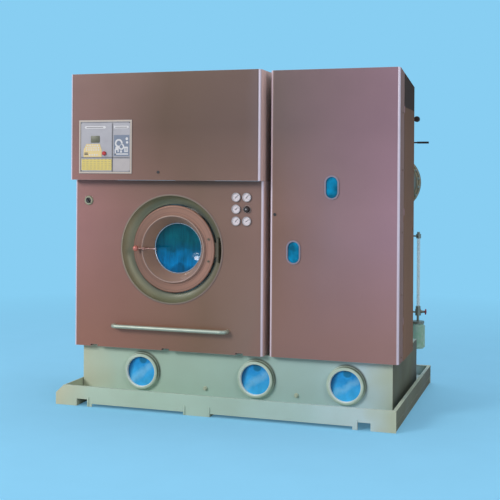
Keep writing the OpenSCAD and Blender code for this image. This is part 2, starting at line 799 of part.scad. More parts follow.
module side_sheet(x, y0) {
    translate([x, 0, 0]) rotate([90, 0, 90]) linear_extrude(sheet)
        polygon([[y0, tank_top], [back_y, tank_top], [back_y, roof_z(back_y)], [y0, roof_z(y0)]]);
}

// A sheet that follows the roof's fall, between two depths
module roof_sheet(x0, x1, y0, y1) {
    translate([x0, 0, 0]) rotate([90, 0, 90]) linear_extrude(x1 - x0)
        polygon([[y0, roof_z(y0) - sheet], [y1, roof_z(y1) - sheet], [y1, roof_z(y1)], [y0, roof_z(y0)]]);
}

door_edge_d = bend_r + 2;
door_flange = 26;
shell_y0 = front_y + door_edge_d + swing;

module cabinet_shell() {
    right_y0 = front_y + return_d + door_gap;
    roof_y0 = front_y + door_flange + swing;
    color(bronze) {
        side_sheet(right_x0, shell_y0);
        side_sheet(right_x1 - sheet, right_y0);
        // Roof, cut back where the door's return lies beside it
        roof_sheet(right_x0 + sheet, right_x1 - sheet - swing / 2, roof_y0, back_y);
        roof_sheet(right_x1 - sheet - swing / 2, right_x1 - sheet, right_y0, back_y);
        // Strike flange for the lock's cam
        block([right_x0 + sheet, shell_y0, tank_top], [right_x0 + sheet + strike_w, shell_y0 + sheet, right_top - 40]);
        // Joggled strip behind the hinge line
        block([right_x1 - 11, right_y0 - 28, tank_top], [right_x1 - 8, right_y0 + 7, right_top - 60]);
        block([right_x1 - 8, right_y0, tank_top], [right_x1 - sheet, right_y0 + 7, right_top - 60]);
        // Rear flanges
        for (x = [right_x0 + sheet, right_x1 - sheet - 30])
            block([x, back_y - sheet, tank_top], [x + 30, back_y, right_top - roof_fall - 2 * sheet]);
        // Lower hinge barrels with their pins
        for (z = service_hinge_z) {
            block([right_x1 - sheet, service_hinge[1], z - service_barrel_l], [right_x1, right_y0, z]);
            rod_z(service_hinge[0], service_hinge[1], z - service_barrel_l, z, service_barrel_r);
            rod_z(service_hinge[0], service_hinge[1], z, z + service_barrel_l - 6, service_pin_r);
        }
    }
}

// The outline of a sight slot, as an upright stadium grown by a margin
module slot_shape(margin) {
    r = slot_view_w / 2 + margin;
    straight = slot_view_h - slot_view_w;
    translate([-r, -straight / 2]) square([2 * r, straight]);
    for (s = [-1, 1]) translate([0, s * straight / 2]) circle(r = r);
}

// A solid of that outline at a slot, from one depth to another
module slot_solid(p, y0, y1, margin) {
    translate([p[0], y1, p[1]]) rotate([90, 0, 0]) linear_extrude(y1 - y0) slot_shape(margin);
}

module service_door() {
    color(bronze) {
        roof_sheet(right_x0 + bend_r, right_x1 - bend_r, front_y + sheet, front_y + door_flange);
        block([right_x0 + bend_r, front_y + sheet, service_door_z0],
              [right_x1 - bend_r, front_y + door_flange, service_door_z0 + sheet]);
        difference() {
            translate([right_x0, front_y, service_door_z0]) linear_extrude(right_top - service_door_z0)
                bent_sheet(right_w, door_edge_d, return_d);
            // The top edge follows the roof's fall
            translate([right_x0 - 1, 0, 0]) rotate([90, 0, 90]) linear_extrude(right_w + 2)
                polygon([[front_y - 1, right_top + 1], [front_y - 1, roof_z(front_y - 1)],
                         [front_y + return_d + 1, roof_z(front_y + return_d + 1)],
                         [front_y + return_d + 1, right_top + 1]]);
            for (p = slot_places)
                slot_solid(p, front_y - 1, front_y + sheet + 1, 0);
            rod_y(service_lock_place[0], front_y - 1, front_y + sheet + 1, service_lock_place[1], lock_shaft_r + run);
        }
        // Upper hinge barrels
        for (z = service_hinge_z) difference() {
            union() {
                rod_z(service_hinge[0], service_hinge[1], z + seat, z + service_barrel_l, service_barrel_r);
                block([right_x1 - sheet, front_y + return_d, z + seat],
                      [right_x1, service_hinge[1], z + service_barrel_l]);
            }
            rod_z(service_hinge[0], service_hinge[1], z - 1, z + service_barrel_l + 1, service_pin_r + run);
        }
    }
}

module sight_frames() {
    color(steel) for (p = slot_places) difference() {
        slot_solid(p, front_y - 5, front_y, slot_rim);
        slot_solid(p, front_y - 6, front_y + 1, 0);
    }
}

module sight_glasses() {
    color(glass_blue) for (p = slot_places)
        slot_solid(p, front_y + sheet, front_y + sheet + 5, 6);
}

module service_lock() { color(dark) quarter_lock(service_lock_place, front_y, shell_y0 + sheet + 2, 22, 0); }

// ---------------------------------------------------------------- loading door

edge_depth = disc_depth + 10;
seal_r = mouth_r + 6;
seal_w = 12;
seal_back = 68;
mouth_depth = 80;
spindle_r = 6;
spindle_x = door_x - 188;
spindle_boss_r = 10;
boss_depth = [54, 85];
keeper_depth = [87, 94];

module loading_door() {
    lip_top = disc_depth - lip_rise;
    color(bronze) difference() {
        union() {
            turned(door_x, front_y, door_z) polygon(concat(
                [[disc_r - door_t, edge_depth], [disc_r, edge_depth]],
                arc_points(disc_r - 8, disc_depth + 8, 8, 8, 0, -90, 5),
                [[lip_r + lip_w + 4, disc_depth], [lip_r + lip_w, disc_depth - 4]],
                arc_points(lip_r + lip_w / 2, lip_top + lip_w / 2, lip_w / 2, lip_w / 2, 0, -180, 8),
                [[funnel_r, funnel_depth], [glass_r, funnel_depth], [glass_r, funnel_depth + door_t],
                 [funnel_r + door_t, funnel_depth + door_t], [lip_r + door_t, disc_depth + door_t],
                 [disc_r - door_t - 4, disc_depth + door_t], [disc_r - door_t, disc_depth + 8]]));
            // Ring that carries the gasket
            turned(door_x, front_y, door_z) polygon([
                [seal_r, disc_depth + door_t - 1], [seal_r + seal_w, disc_depth + door_t - 1],
                [seal_r + seal_w, seal_back], [seal_r, seal_back]]);
            rod_y(spindle_x, front_y + boss_depth[0], front_y + boss_depth[1], door_z, spindle_boss_r);
        }
        rod_y(spindle_x, front_y, front_y + keeper_depth[1] + 4, door_z, spindle_r + run);
        for (z = bolt_z)
            rod_y(bolt_x, front_y + disc_depth - 1, front_y + disc_depth + door_t + 1, door_z + z, bolt_r + seat);
    }
}

bolt_x = door_x + 238;
bolt_z = [-71, 67];
bolt_r = 5;

module door_glass() {
    color(glass_blue) rod_y(door_x, front_y + funnel_depth + door_t, front_y + funnel_depth + door_t + glass_t, door_z,
                            funnel_r + 2);
}

module glass_ring() {
    color("silver") turned(door_x, front_y, door_z) polygon([
        [glass_r - 1, funnel_depth], [glass_r - 1, funnel_depth - 3], [glass_r + 1, funnel_depth - 5],
        [glass_r + 3.5, funnel_depth - 5], [funnel_r - 0.5, funnel_depth - 2], [funnel_r - 0.5, funnel_depth]]);
}

module door_gasket() {
    color(dark) turned(door_x, front_y, door_z) polygon([
        [seal_r, seal_back], [seal_r + seal_w, seal_back], [seal_r + seal_w, seal_back + 8],
        [seal_r + seal_w / 2 + 3, mouth_depth - seat], [seal_r + seal_w / 2 - 3, mouth_depth - seat],
        [seal_r, seal_back + 8]]);
}

arm_back = 54;
arm_front = edge_depth;
arm_half = 45;

module hinge_arm() {
    color(steel) difference() {
        union() {
            // Plate behind the disc, wide at its bolts and narrow at the hinge
            translate([0, front_y + arm_back, 0]) rotate([90, 0, 0]) linear_extrude(arm_back - arm_front)
                polygon([for (p = [[bolt_x - 7, -86], [bolt_x + 14, -86], [hinge_x - 24, -arm_half],
                                   [hinge_x - 12, -arm_half], [hinge_x - 12, arm_half], [hinge_x - 24, arm_half],
                                   [bolt_x + 14, 86], [bolt_x - 7, 86]]) [p[0], door_z + p[1]]]);
            // Web that comes forward to the barrel
            translate([hinge_x, hinge_y, door_z - arm_half]) linear_extrude(2 * arm_half)
                polygon([[-22, arm_front - 30], [-22, arm_back - 30], [-12, arm_back - 30], [0, 10], [-9, -5],
                         [-15, 6]]);
            rod_z(hinge_x, hinge_y, door_z - arm_half, door_z + arm_half, hinge_barrel_r);
            // Bosses that close the space behind the disc, and the bolts' round heads
            for (z = bolt_z) {
                rod_y(bolt_x, front_y + disc_depth + door_t, front_y + arm_front, door_z + z, bolt_r + 3);
                rod_y(bolt_x, front_y + disc_depth, front_y + disc_depth + door_t, door_z + z, bolt_r);
                rod_y(bolt_x, front_y + disc_depth - 4, front_y + disc_depth, door_z + z, bolt_r + 2.5);
            }
        }
        rod_z(hinge_x, hinge_y, door_z - arm_half - 1, door_z + arm_half + 1, hinge_pin_r + run);
    }
}

module hinge_bracket() {
    color(steel) {
        block([hinge_x - 34, tub_front - 6, door_z - 90], [hinge_x + 34, tub_front, door_z + 90]);
        for (z = [bracket_z[0], bracket_z[2]]) {
            block([hinge_x - 10, hinge_y, door_z + z], [hinge_x + 10, tub_front - 6, door_z + z + 29]);
            rod_z(hinge_x, hinge_y, door_z + z, door_z + z + 29, hinge_barrel_r);
        }
        rod_z(hinge_x, hinge_y, door_z + bracket_z[1], door_z + bracket_z[2], hinge_pin_r);
    }
}

module latch_lever() {
    arm_u = -1;
    tongue = [keeper_depth[1] + 3, keeper_depth[1] + 9];
    color("#b0664e") {
        rod_y(spindle_x, front_y + arm_u - 8, front_y + arm_u + 8, door_z, 9);
        rod_y(spindle_x, front_y + arm_u + 8, front_y + tongue[0], door_z, spindle_r);
        rod_x(spindle_x - lever_l, spindle_x + 84, front_y + arm_u, door_z, 4.5);
        translate([spindle_x - lever_l, front_y + arm_u, door_z]) rotate([0, 0, 130]) sphere(r = ball_r);
        // Tongue that turns behind the keeper in the tub's mouth
        block([spindle_x - 5, front_y + tongue[0], door_z - 21], [spindle_x + 5, front_y + tongue[1], door_z + 4]);
    }
}

// ---------------------------------------------------------------- drum and drive

module outer_tub() {
    trap_x = [door_x - trap_w / 2, door_x + trap_w / 2];
    trap_y = [tub_front + 120, tub_front + 330];
    duct_t = 4;
    duct_top = lower_top + 40;
    color(steel) difference() {
        union() {
            turned(door_x, front_y, door_z) polygon([
                [mouth_r, mouth_depth], [mouth_r + 28, mouth_depth], [mouth_r + 28, 120], [tub_r, 120],
                [tub_r, 120 + tub_d], [hub_r + 5, 120 + tub_d], [hub_r + 5, 120 + tub_d - tub_t],
                [tub_r - tub_t, 120 + tub_d - tub_t], [tub_r - tub_t, 124], [mouth_r, 124]]);
            // Button trap down to the tank, and the air duct up into the upper housing
            difference() {
                union() {
                    block([trap_x[0], trap_y[0], tank_top], [trap_x[1], trap_y[1], door_z - tub_r + 40]);
                    block([door_x - duct_half, duct_y[0], door_z + tub_r - 40], [door_x + duct_half, duct_y[1], duct_top]);
                }
                rod_y(door_x, tub_front, tub_back, door_z, tub_r - 1);
            }
            // Keeper for the latch's tongue
            block([door_x - mouth_r - 2, front_y + keeper_depth[0], door_z - 8],
                  [door_x - 199, front_y + keeper_depth[1], door_z + 8]);
        }
        block([trap_x[0] + duct_t, trap_y[0] + duct_t, tank_top + duct_t],
              [trap_x[1] - duct_t, trap_y[1] - duct_t, door_z - tub_r + 60]);
        block([door_x - duct_half + duct_t, duct_y[0] + duct_t, door_z + tub_r - 60],
              [door_x + duct_half - duct_t, duct_y[1] - duct_t, duct_top + 1]);
    }
}

hub_r = 40;
drum_front = 134;
drum_back = 608;
pulley_depth = [812, 812 + pulley_w];

// The outline of a lifter, or of the space inside it
module lifter_shape(inset) {
    foot = drum_r - drum_t - 1 + inset;
    top = drum_r - drum_t - lifter_h + inset;
    polygon([[inset * 1.2 - 40, foot], [inset * 0.6 - 12, top], [12 - inset * 0.6, top], [40 - inset * 1.2, foot]]);
}

module wash_drum() {
    mouth = mouth_r + 10;
    color("silver") {
        turned(door_x, front_y, door_z) polygon([
            [mouth, drum_front], [drum_r - 6, drum_front], [drum_r, drum_front + 6], [drum_r, drum_back], [hub_r, drum_back],
            [hub_r, drum_back + 32], [shaft_r, drum_back + 32], [shaft_r, pulley_depth[1] + 6], [0, pulley_depth[1] + 6],
            [0, drum_back - 4], [drum_r - drum_t, drum_back - 4], [drum_r - drum_t, drum_front + drum_t + 3],
            [drum_r - drum_t - 3, drum_front + drum_t], [mouth, drum_front + drum_t]]);
        // Lifters, folded from sheet
        for (i = [0:lifters - 1])
            translate([door_x, 0, door_z]) rotate([0, 30 + i * 360 / lifters, 0])
                translate([0, front_y + drum_back - 4, 0]) rotate([90, 0, 0])
                    linear_extrude(drum_back - drum_front - 10) difference() {
                        lifter_shape(0);
                        lifter_shape(drum_t);
                    }
    }
}

module bearing_housing() {
    body_r = 72;
    u0 = 120 + tub_d;
    u1 = pulley_depth[0] - 12;
    color(dark) difference() {
        union() {
            turned(door_x, front_y, door_z) polygon([
                [0, u0], [150, u0], [150, u0 + 14], [body_r + 8, u0 + 14], [body_r, u0 + 22], [body_r, u1], [0, u1]]);
            for (i = [0:5])
                translate([door_x, 0, door_z]) rotate([0, i * 60, 0])
                    translate([-5, front_y + u0 + 14, body_r - 2]) rotate([0, 90, 0]) linear_extrude(10)
                        polygon([[0, 0], [-72, 0], [0, 110]]);
        }
        rod_y(door_x, front_y + u0 - 1, front_y + u1 + 1, door_z, shaft_r + run);
        // Recess round the drum's hub
        rod_y(door_x, front_y + u0 - 1, front_y + drum_back + 34, door_z, hub_r + 5);
    }
}

// Rim profile of a grooved pulley, as [radius, depth] points from its outer front edge
function groove_points(r) = [for (i = [0:grooves - 1], k = [0:3])
    let (pitch = (pulley_w - 6) / grooves, u = 3 + i * pitch)
    [k == 0 || k == 3 ? r : r - 7, u + pitch * [0.1, 0.35, 0.65, 0.9][k]]];

module drum_pulley() {
    rim = 18;
    color(dark) translate([0, front_y + pulley_depth[0], 0]) difference() {
        union() {
            turned(door_x, 0, door_z) polygon(concat(
                [[pulley_r - rim, 0], [pulley_r, 0]], groove_points(pulley_r),
                [[pulley_r, pulley_w], [pulley_r - rim, pulley_w]]));
            rod_y(door_x, -6, pulley_w, door_z, shaft_r + 22);
            for (i = [0:4])
                translate([door_x, 0, door_z]) rotate([0, i * 72, 0])
                    block([-16, pulley_w / 2 - 7, shaft_r + 16], [16, pulley_w / 2 + 7, pulley_r - rim + 3]);
        }
        rod_y(door_x, -7, pulley_w + 1, door_z, shaft_r + run);
    }
}

motor_place = [door_x + 282, tank_top + motor_r + 36];

// Outline round both pulleys at a radial distance from their rims
module belt_outline(extra) {
    hull() {
        translate([door_x, door_z]) circle(r = pulley_r + extra, $fn = 96);
        translate(motor_place) circle(r = motor_pulley_r + extra, $fn = 48);
    }
}

module drive_belt() {
    color(dark) translate([0, front_y + pulley_depth[1] - 4, 0]) rotate([90, 0, 0]) linear_extrude(pulley_w - 8)
        difference() {
            belt_outline(6.8);
            belt_outline(0.8);
        }
}

motor_shaft_r = 14;
motor_back = front_y + pulley_depth[0] - 20;
motor_front = motor_back - motor_l;

module drive_motor() {
    x = motor_place[0];
    z = motor_place[1];
    color("#5c6a70") difference() {
        union() {
            rod_y(x, motor_front + 26, motor_back - 20, z, motor_r - 10);
            rod_y(x, motor_front, motor_front + 28, z, motor_r - 4);
            rod_y(x, motor_back - 24, motor_back, z, motor_r - 16);
            // Cooling fins
            for (a = [15:30:359])
                translate([x, 0, z]) rotate([0, a, 0])
                    block([-2, motor_front + 26, motor_r - 14], [2, motor_back - 24, motor_r]);
            block([x - 34, motor_front + 60, z + motor_r - 16], [x + 34, motor_front + 140, z + motor_r + 18]);
            block([x - 80, motor_front + 40, tank_top], [x + 80, motor_back - 40, tank_top + 12]);
            for (s = [-1, 1])
                block([x + s * 58 - 7, motor_front + 50, tank_top + 10], [x + s * 58 + 7, motor_back - 50, z - 20]);
        }
        rod_y(x, motor_back - 60, motor_back + 1, z, motor_shaft_r + run);
    }
}

module motor_pulley() {
    x = motor_place[0];
    z = motor_place[1];
    color(dark) {
        turned(x, front_y + pulley_depth[0], z) polygon(concat(
            [[0, 0], [motor_pulley_r, 0]], groove_points(motor_pulley_r),
            [[motor_pulley_r, pulley_w], [motor_shaft_r + 6, pulley_w], [motor_shaft_r + 6, pulley_w - 12],
             [0, pulley_w - 12]]));
        rod_y(x, motor_back - 58, front_y + pulley_depth[0], z, motor_shaft_r);
    }
}

// ---------------------------------------------------------------- air circuit

fan_x = left_x1 - 376;
fan_z = lower_top + 351;
outlet_l = 290;
inlet_r = 100;
fan_shaft_r = 10;

// The scroll's outline: a spiral that opens into a straight outlet to the left
function scroll_points(shrink) =
    let (start = 120, end = 450, steps = 30, floor_z = scroll_min_r * sin(start) + shrink)
    concat([for (i = [0:steps])
        let (a = start + (end - start) * i / steps,
             r = scroll_min_r + (scroll_max_r - scroll_min_r) * i / steps - shrink)
        [r * cos(a), r * sin(a)]],
        [[-outlet_l - (shrink > 0 ? 1 : 0), scroll_max_r - shrink], [-outlet_l - (shrink > 0 ? 1 : 0), floor_z]]);

module fan_housing() {
    plate = 3;
    color(steel) translate([fan_x, scroll_y, fan_z]) difference() {
        translate([0, scroll_w, 0]) rotate([90, 0, 0]) linear_extrude(scroll_w) polygon(scroll_points(0));
        translate([0, scroll_w - plate, 0]) rotate([90, 0, 0]) linear_extrude(scroll_w - 2 * plate)
            polygon(scroll_points(4));
        rod_y(0, -1, plate + 1, 0, inlet_r);
        rod_y(0, scroll_w - plate - 1, scroll_w + 1, 0, fan_shaft_r + 8);
    }
}

module fan_wheel() {
    u0 = (scroll_w - wheel_w) / 2;
    hub = 24;
    color("silver") translate([fan_x, scroll_y, fan_z]) {
        // Back plate, hub and shaft; front shroud ring
        turned(0, 0, 0) polygon([
            [0, u0 + 30], [hub, u0 + 30], [hub, u0 + wheel_w - 4], [wheel_r, u0 + wheel_w - 4], [wheel_r, u0 + wheel_w],
            [fan_shaft_r, u0 + wheel_w], [fan_shaft_r, scroll_w + 70], [0, scroll_w + 70]]);
        turned(0, 0, 0) polygon([[inlet_r - 4, u0], [wheel_r, u0 + 14], [wheel_r, u0 + 17], [inlet_r - 4, u0 + 3]]);
        // Backward curved blades from the back plate to the shroud
        for (i = [0:blades - 1])
            rotate([0, i * 360 / blades, 0]) translate([0, u0 + wheel_w - 3, 0]) rotate([90, 0, 0])
                linear_extrude(wheel_w - 16.5) polygon(concat(
                    arc_points(wheel_r * 0.04, -wheel_r * 0.59, wheel_r * 0.75, wheel_r * 0.75, 52, 3, 6),
                    arc_points(wheel_r * 0.04, -wheel_r * 0.59, wheel_r * 0.75 - 3, wheel_r * 0.75 - 3, 3, 52, 6)));
    }
}

module fan_motor() {
    y0 = scroll_y + scroll_w;
    color("#5c6a70") difference() {
        union() {
            rod_y(fan_x, y0, y0 + 12, fan_z, 104);
            rod_y(fan_x, y0 + 12, y0 + 180, fan_z, 78);
            rod_y(fan_x, y0 + 180, y0 + 200, fan_z, 84);
            for (a = [0:30:359])
                translate([fan_x, 0, fan_z]) rotate([0, a, 0]) block([-2, y0 + 10, 70], [2, y0 + 182, 82]);
            // Pedestal on the housing's floor
            block([fan_x - 70, y0 + 20, lower_top + sheet], [fan_x + 70, y0 + 160, lower_top + sheet + 10]);
            for (s = [-1, 1])
                block([fan_x + s * 55 - 5, y0 + 30, lower_top + sheet + 8],
                      [fan_x + s * 55 + 5, y0 + 150, fan_z - 40]);
        }
        rod_y(fan_x, y0 - 1, y0 + 72, fan_z, fan_shaft_r + run);
    }
}

module air_battery() {
    x1 = fan_x - outlet_l - 1;
    x0 = x1 - battery_w;
    z0 = lower_top + sheet;
    z1 = fan_z + scroll_max_r + 10;
    y0 = scroll_y - 20;
    y1 = scroll_y + scroll_w + 40;
    pitch = (battery_w - 60) / (fins - 1);
    color(steel) {
        for (z = [z0, z1 - 3])
            block([x0, y0, z], [x1, y1, z + 3]);
        for (x = [x0, x1 - 20])
            for (y = [y0, y1 - 20])
                block([x, y, z0 + 3], [x + 20, y + 20, z1 - 3]);
    }
    color("silver") for (i = [0:fins - 1])
        block([x0 + 29 + i * pitch, y0 + 22, z0 + 3], [x0 + 31 + i * pitch, y1 - 22, z1 - 3]);
    color("#b0664e") for (i = [0:7], y = [y0 + 70, y1 - 70])
        rod_x(x0 + 4, x1 - 4, y, z0 + 50 + i * (z1 - z0 - 100) / 7, 8);
}

// ---------------------------------------------------------------- solvent circuit

still_x = right_x0 + 394;
still_y = front_y + 300;
still_z0 = tank_top + 180;
vessel_t = 4;

module still_vessel() {
    top = still_z0 + still_h;
    dome = 90;
    hatch_z = still_z0 + 300;
    hatch_y = front_y + 56;
    hatch_r = 92;
    color(steel) {
        difference() {
            union() {
                translate([still_x, still_y, 0]) rotate_extrude() polygon(concat(
                    [[0, still_z0 - dome]],
                    arc_points(0, still_z0, still_r, dome, -80, 0, 8),
                    [[still_r, still_z0 + 40], [still_r + 14, still_z0 + 40], [still_r + 14, still_z0 + 54],
                     [still_r, still_z0 + 54], [still_r, top]],
                    arc_points(0, top, still_r, dome, 10, 70, 6),
                    [[70, top + dome], [70, top + 190], [95, top + 190], [95, top + 206], [0, top + 206]]));
                // Cleaning hatch on the front
                rod_y(still_x, hatch_y, still_y, hatch_z, hatch_r);
                rod_y(still_x, hatch_y - 16, hatch_y, hatch_z, hatch_r + 18);
            }
            // The space inside
            translate([still_x, still_y, 0]) rotate_extrude() polygon(concat(
                [[0, still_z0 - dome + vessel_t]],
                arc_points(0, still_z0, still_r - vessel_t, dome - vessel_t, -80, 0, 8),
                arc_points(0, top, still_r - vessel_t, dome - vessel_t, 0, 70, 7),
                [[70 - vessel_t, top + dome - vessel_t], [70 - vessel_t, top + 190], [0, top + 190]]));
            rod_y(still_x, hatch_y + vessel_t, still_y, hatch_z, hatch_r - vessel_t);
        }
        for (a = [45:90:359])
            translate([still_x, still_y, 0]) rotate([0, 0, a])
                block([still_r - 1, -16, tank_top], [still_r + 14, 16, still_z0 + 50]);
    }
}

filter_x = rear_post_x - 100;

module filter_vessel() {
    y0 = rear_frame_y0 - 10;
    y1 = tank_back - 33;
    cradle_w = 180;
    color(steel) {
        turned(filter_x, 0, filter_z) difference() {
            polygon(concat(
                [[0, y0 - 50]], arc_points(0, y0, filter_r, 50, -80, 0, 6),
                [[filter_r, y1], [flange_r, y1], [flange_r, y1 + 30]],
                arc_points(0, y1 + 30, filter_r - 12, 42, 0, 80, 6), [[0, y1 + 72]]));
            polygon(concat(
                [[0, y0 - 50 + vessel_t]], arc_points(0, y0, filter_r - vessel_t, 50 - vessel_t, -80, 0, 6),
                [[filter_r - vessel_t, y1 + 20], [filter_r - 20, y1 + 30]],
                arc_points(0, y1 + 30, filter_r - 20, 42 - vessel_t, 0, 80, 6), [[0, y1 + 72 - vessel_t]]));
        }
        for (y = [rear_frame_y0, rear_frame_y1]) difference() {
            block([filter_x - cradle_w / 2, y + 8, rear_beam_top], [filter_x + cradle_w / 2, y + tube - 8, filter_z - 60]);
            rod_y(filter_x, y, y + tube, filter_z, filter_r - 2);
        }
    }
}

pump_x = right_x0 + 60;
pump_y = back_y + 240;

module solvent_pump() {
    z = tank_top + 108;
    color("#5c6a70") {
        block([pump_x - 20, pump_y - 90, tank_top], [pump_x + 330, pump_y + 90, tank_top + 12]);
        rod_x(pump_x, pump_x + 60, pump_y, z, 88);
        rod_x(pump_x + 60, pump_x + 110, pump_y, z, 46);
        rod_x(pump_x + 110, pump_x + 310, pump_y, z, 74);
        rod_x(pump_x - 24, pump_x, pump_y, z, 34);
        rod_z(pump_x + 30, pump_y - 58, z, z + 124, 26);
        rod_z(pump_x + 30, pump_y - 58, z + 124, z + 136, 44);
        for (x = [pump_x + 12, pump_x + 180])
            block([x, pump_y - 50, tank_top + 12], [x + 30, pump_y + 50, z - 20]);
    }
}

column_x = rear_post_x + 66;
column_y = rear_frame_y1 + tube + 97;
jar_z0 = 265;
tube_z = [556, 1027];
valve_z = 515;
handwheel_x = column_x + 44;

module separator_jar() {
    color("#8fb08a") translate([column_x - 1, column_y, jar_z0]) rotate_extrude() polygon([
        [0, 0], [jar_r - 12, 0], [jar_r, 12], [jar_r, jar_h - 16], [jar_r - 14, jar_h], [jar_r - 18, jar_h],
        [jar_r - 5, jar_h - 17], [jar_r - 5, 13], [jar_r - 14, 5], [0, 5]]);
}

module sight_tube() {
    color(white_face) difference() {
        rod_z(column_x, column_y, tube_z[0], tube_z[1], tube_r);
        rod_z(column_x, column_y, tube_z[0] - 1, tube_z[1] + 1, tube_r - 3);
    }
}

// A bracket from the rear post back to the column, at a height
module column_bracket(z, reach) {
    block([rear_post_x + 6, rear_frame_y1 + tube, z - 5], [rear_post_x + 30, column_y - reach, z + 5]);
}

steam_x = rear_post_x + 8;
steam_y = rear_frame_y1 + tube + 60;
steam_z = 1690;
regulator_z = 1849;
regulator_place = [rear_post_x + 60, steam_y - 14];

module pipework() {
    jar_top = jar_z0 + jar_h;
    // Jar cap and its arm to the post
    color(steel) {
        rod_z(column_x - 1, column_y, jar_top, jar_top + 16, jar_r - 6);
        block([rear_post_x + 8, rear_frame_y1 + tube, jar_top + 2], [rear_post_x + 32, column_y - 20, jar_top + 14]);
        rod_z(column_x - 1, column_y, jar_top + 16, valve_z - 22, 9);
    }
    // Lower valve, its stem and the fittings that hold the sight tube
    color("#5a4632") {
        rod_z(column_x, column_y, valve_z - 22, valve_z + 22, 20);
        rod_x(column_x, column_x + 28, column_y, valve_z + 4, 11);
        rod_z(column_x, column_y, valve_z + 22, tube_z[0], tube_r + 5);
    }
    color("#c8a860") difference() {
        rod_x(column_x + 28, handwheel_x - seat, column_y, valve_z + 4, 8);
        rod_x(column_x + 20, handwheel_x + 1, column_y, valve_z + 4, 4 + run);
    }
    color(white_face) {
        rod_z(column_x, column_y, tube_z[1], tube_z[1] + 30, tube_r + 5);
        rod_z(column_x, column_y, tube_z[1] + 30, tube_z[1] + 44, tube_r - 2);
    }
    // Brackets
    color(steel) {
        difference() {
            column_bracket(valve_z, 0);
            rod_z(column_x, column_y, valve_z - 30, valve_z + 30, 19);
        }
        block([rear_post_x + 6, column_y - 8, valve_z - 5], [column_x - 12, column_y + 8, valve_z + 5]);
        column_bracket(tube_z[1] + 15, 0);
        block([rear_post_x + 6, column_y - 8, tube_z[1] + 10], [column_x - 8, column_y + 8, tube_z[1] + 20]);
        // Steam line with its ball valve and regulator
        rod_z(steam_x, steam_y, steam_z - 560, steam_z - 34, 11);
        rod_z(steam_x, steam_y, steam_z - 34, steam_z + 34, 18);
        rod_z(steam_x, steam_y, steam_z + 34, regulator_z - 20, 11);
        rod_z(steam_x, steam_y, regulator_z - 20, regulator_z + 20, 16);
        rod_x(steam_x, regulator_place[0] + 14, steam_y, regulator_z, 13);
        for (z = [steam_z - 500, steam_z - 80, regulator_z - 44])
            block([steam_x - 8, rear_frame_y1 + tube, z], [steam_x + 8, steam_y - 8, z + 10]);
        difference() {
            rod_y(steam_x, steam_y, steam_y + 30, steam_z, 10);
            rod_y(steam_x, steam_y + 20, steam_y + 31, steam_z, 4 + run);
        }
    }
    color(steel) difference() {
        rod_y(regulator_place[0], regulator_place[1] - 6, steam_y, regulator_z, 8);
        rod_y(regulator_place[0], regulator_place[1] - 7, regulator_place[1] + 3, regulator_z, 4 + run);
    }
}

module handwheel() {
    z = valve_z + 4;
    color("#a03040") {
        translate([handwheel_x, column_y, z]) rotate([0, 90, 0]) {
            translate([0, 0, 8]) rotate_extrude() translate([handwheel_r - 4, 0]) circle(r = 4, $fn = 24);
            cylinder(r = 7, h = 14);
            for (a = [0:90:359])
                rotate([0, 0, a]) translate([5, -1.8, 5.5]) cube([handwheel_r - 8, 3.6, 5]);
        }
        rod_x(handwheel_x - 14, handwheel_x, column_y, z, 4);
    }
}

module steam_lever() {
    y0 = steam_y + 30 + seat;
    color(dark) {
        rod_y(steam_x, steam_y + 21, y0 + 6, steam_z, 4);
        rod_y(steam_x, y0, y0 + 6, steam_z, 11);
        block([steam_x, y0 + 1, steam_z - 5], [steam_x + 48, y0 + 5, steam_z + 5]);
        block([steam_x + 46, y0 - 1, steam_z - 7], [steam_x + steam_lever_l, y0 + 7, steam_z + 7]);
    }
}

module regulator_knob() {
    y = regulator_place[1] - 6 - seat;
    color(dark) {
        turned(regulator_place[0], y, regulator_z) polygon([
            [0, -26], [regulator_r - 3, -26], [regulator_r, -22], [regulator_r, -4], [regulator_r - 4, 0], [0, 0]]);
        rod_y(regulator_place[0], y, y + 6, regulator_z, 4);
    }
}

drip_tray();
base_tank();
window_rings();
window_glasses();
suction_pipes();
drain_plugs();
chassis_frame();
side_panels();
lower_front_panel();
door_surround();
upper_housing();
upper_flap();
control_plate();
panel_overlays();
stop_button();
flap_lock();
gauge_cases();
gauge_dials();
gauge_lenses();
gauge_needle(0);  // gauge_needle_1
gauge_needle(1);  // gauge_needle_2
gauge_needle(2);  // gauge_needle_3
gauge_needle(3);  // gauge_needle_4
gauge_needle(4);  // gauge_needle_5
timer_knob();
switch_bezel();
switch_knob();
bar_handle();
cabinet_shell();
service_door();
sight_frames();
sight_glasses();
service_lock();
loading_door();
door_glass();
glass_ring();
door_gasket();
hinge_arm();
hinge_bracket();
latch_lever();
outer_tub();
wash_drum();
bearing_housing();
drum_pulley();
drive_belt();
drive_motor();
motor_pulley();
fan_housing();
fan_wheel();
fan_motor();
air_battery();
still_vessel();
filter_vessel();
solvent_pump();
separator_jar();
sight_tube();
pipework();
handwheel();
steam_lever();
regulator_knob();
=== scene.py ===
"""Dresses the dry cleaning machine: a finish for every solid, prints, scales, fasteners, light and camera."""

import json
import math

import bmesh
import bpy
from mathutils import Matrix, Vector

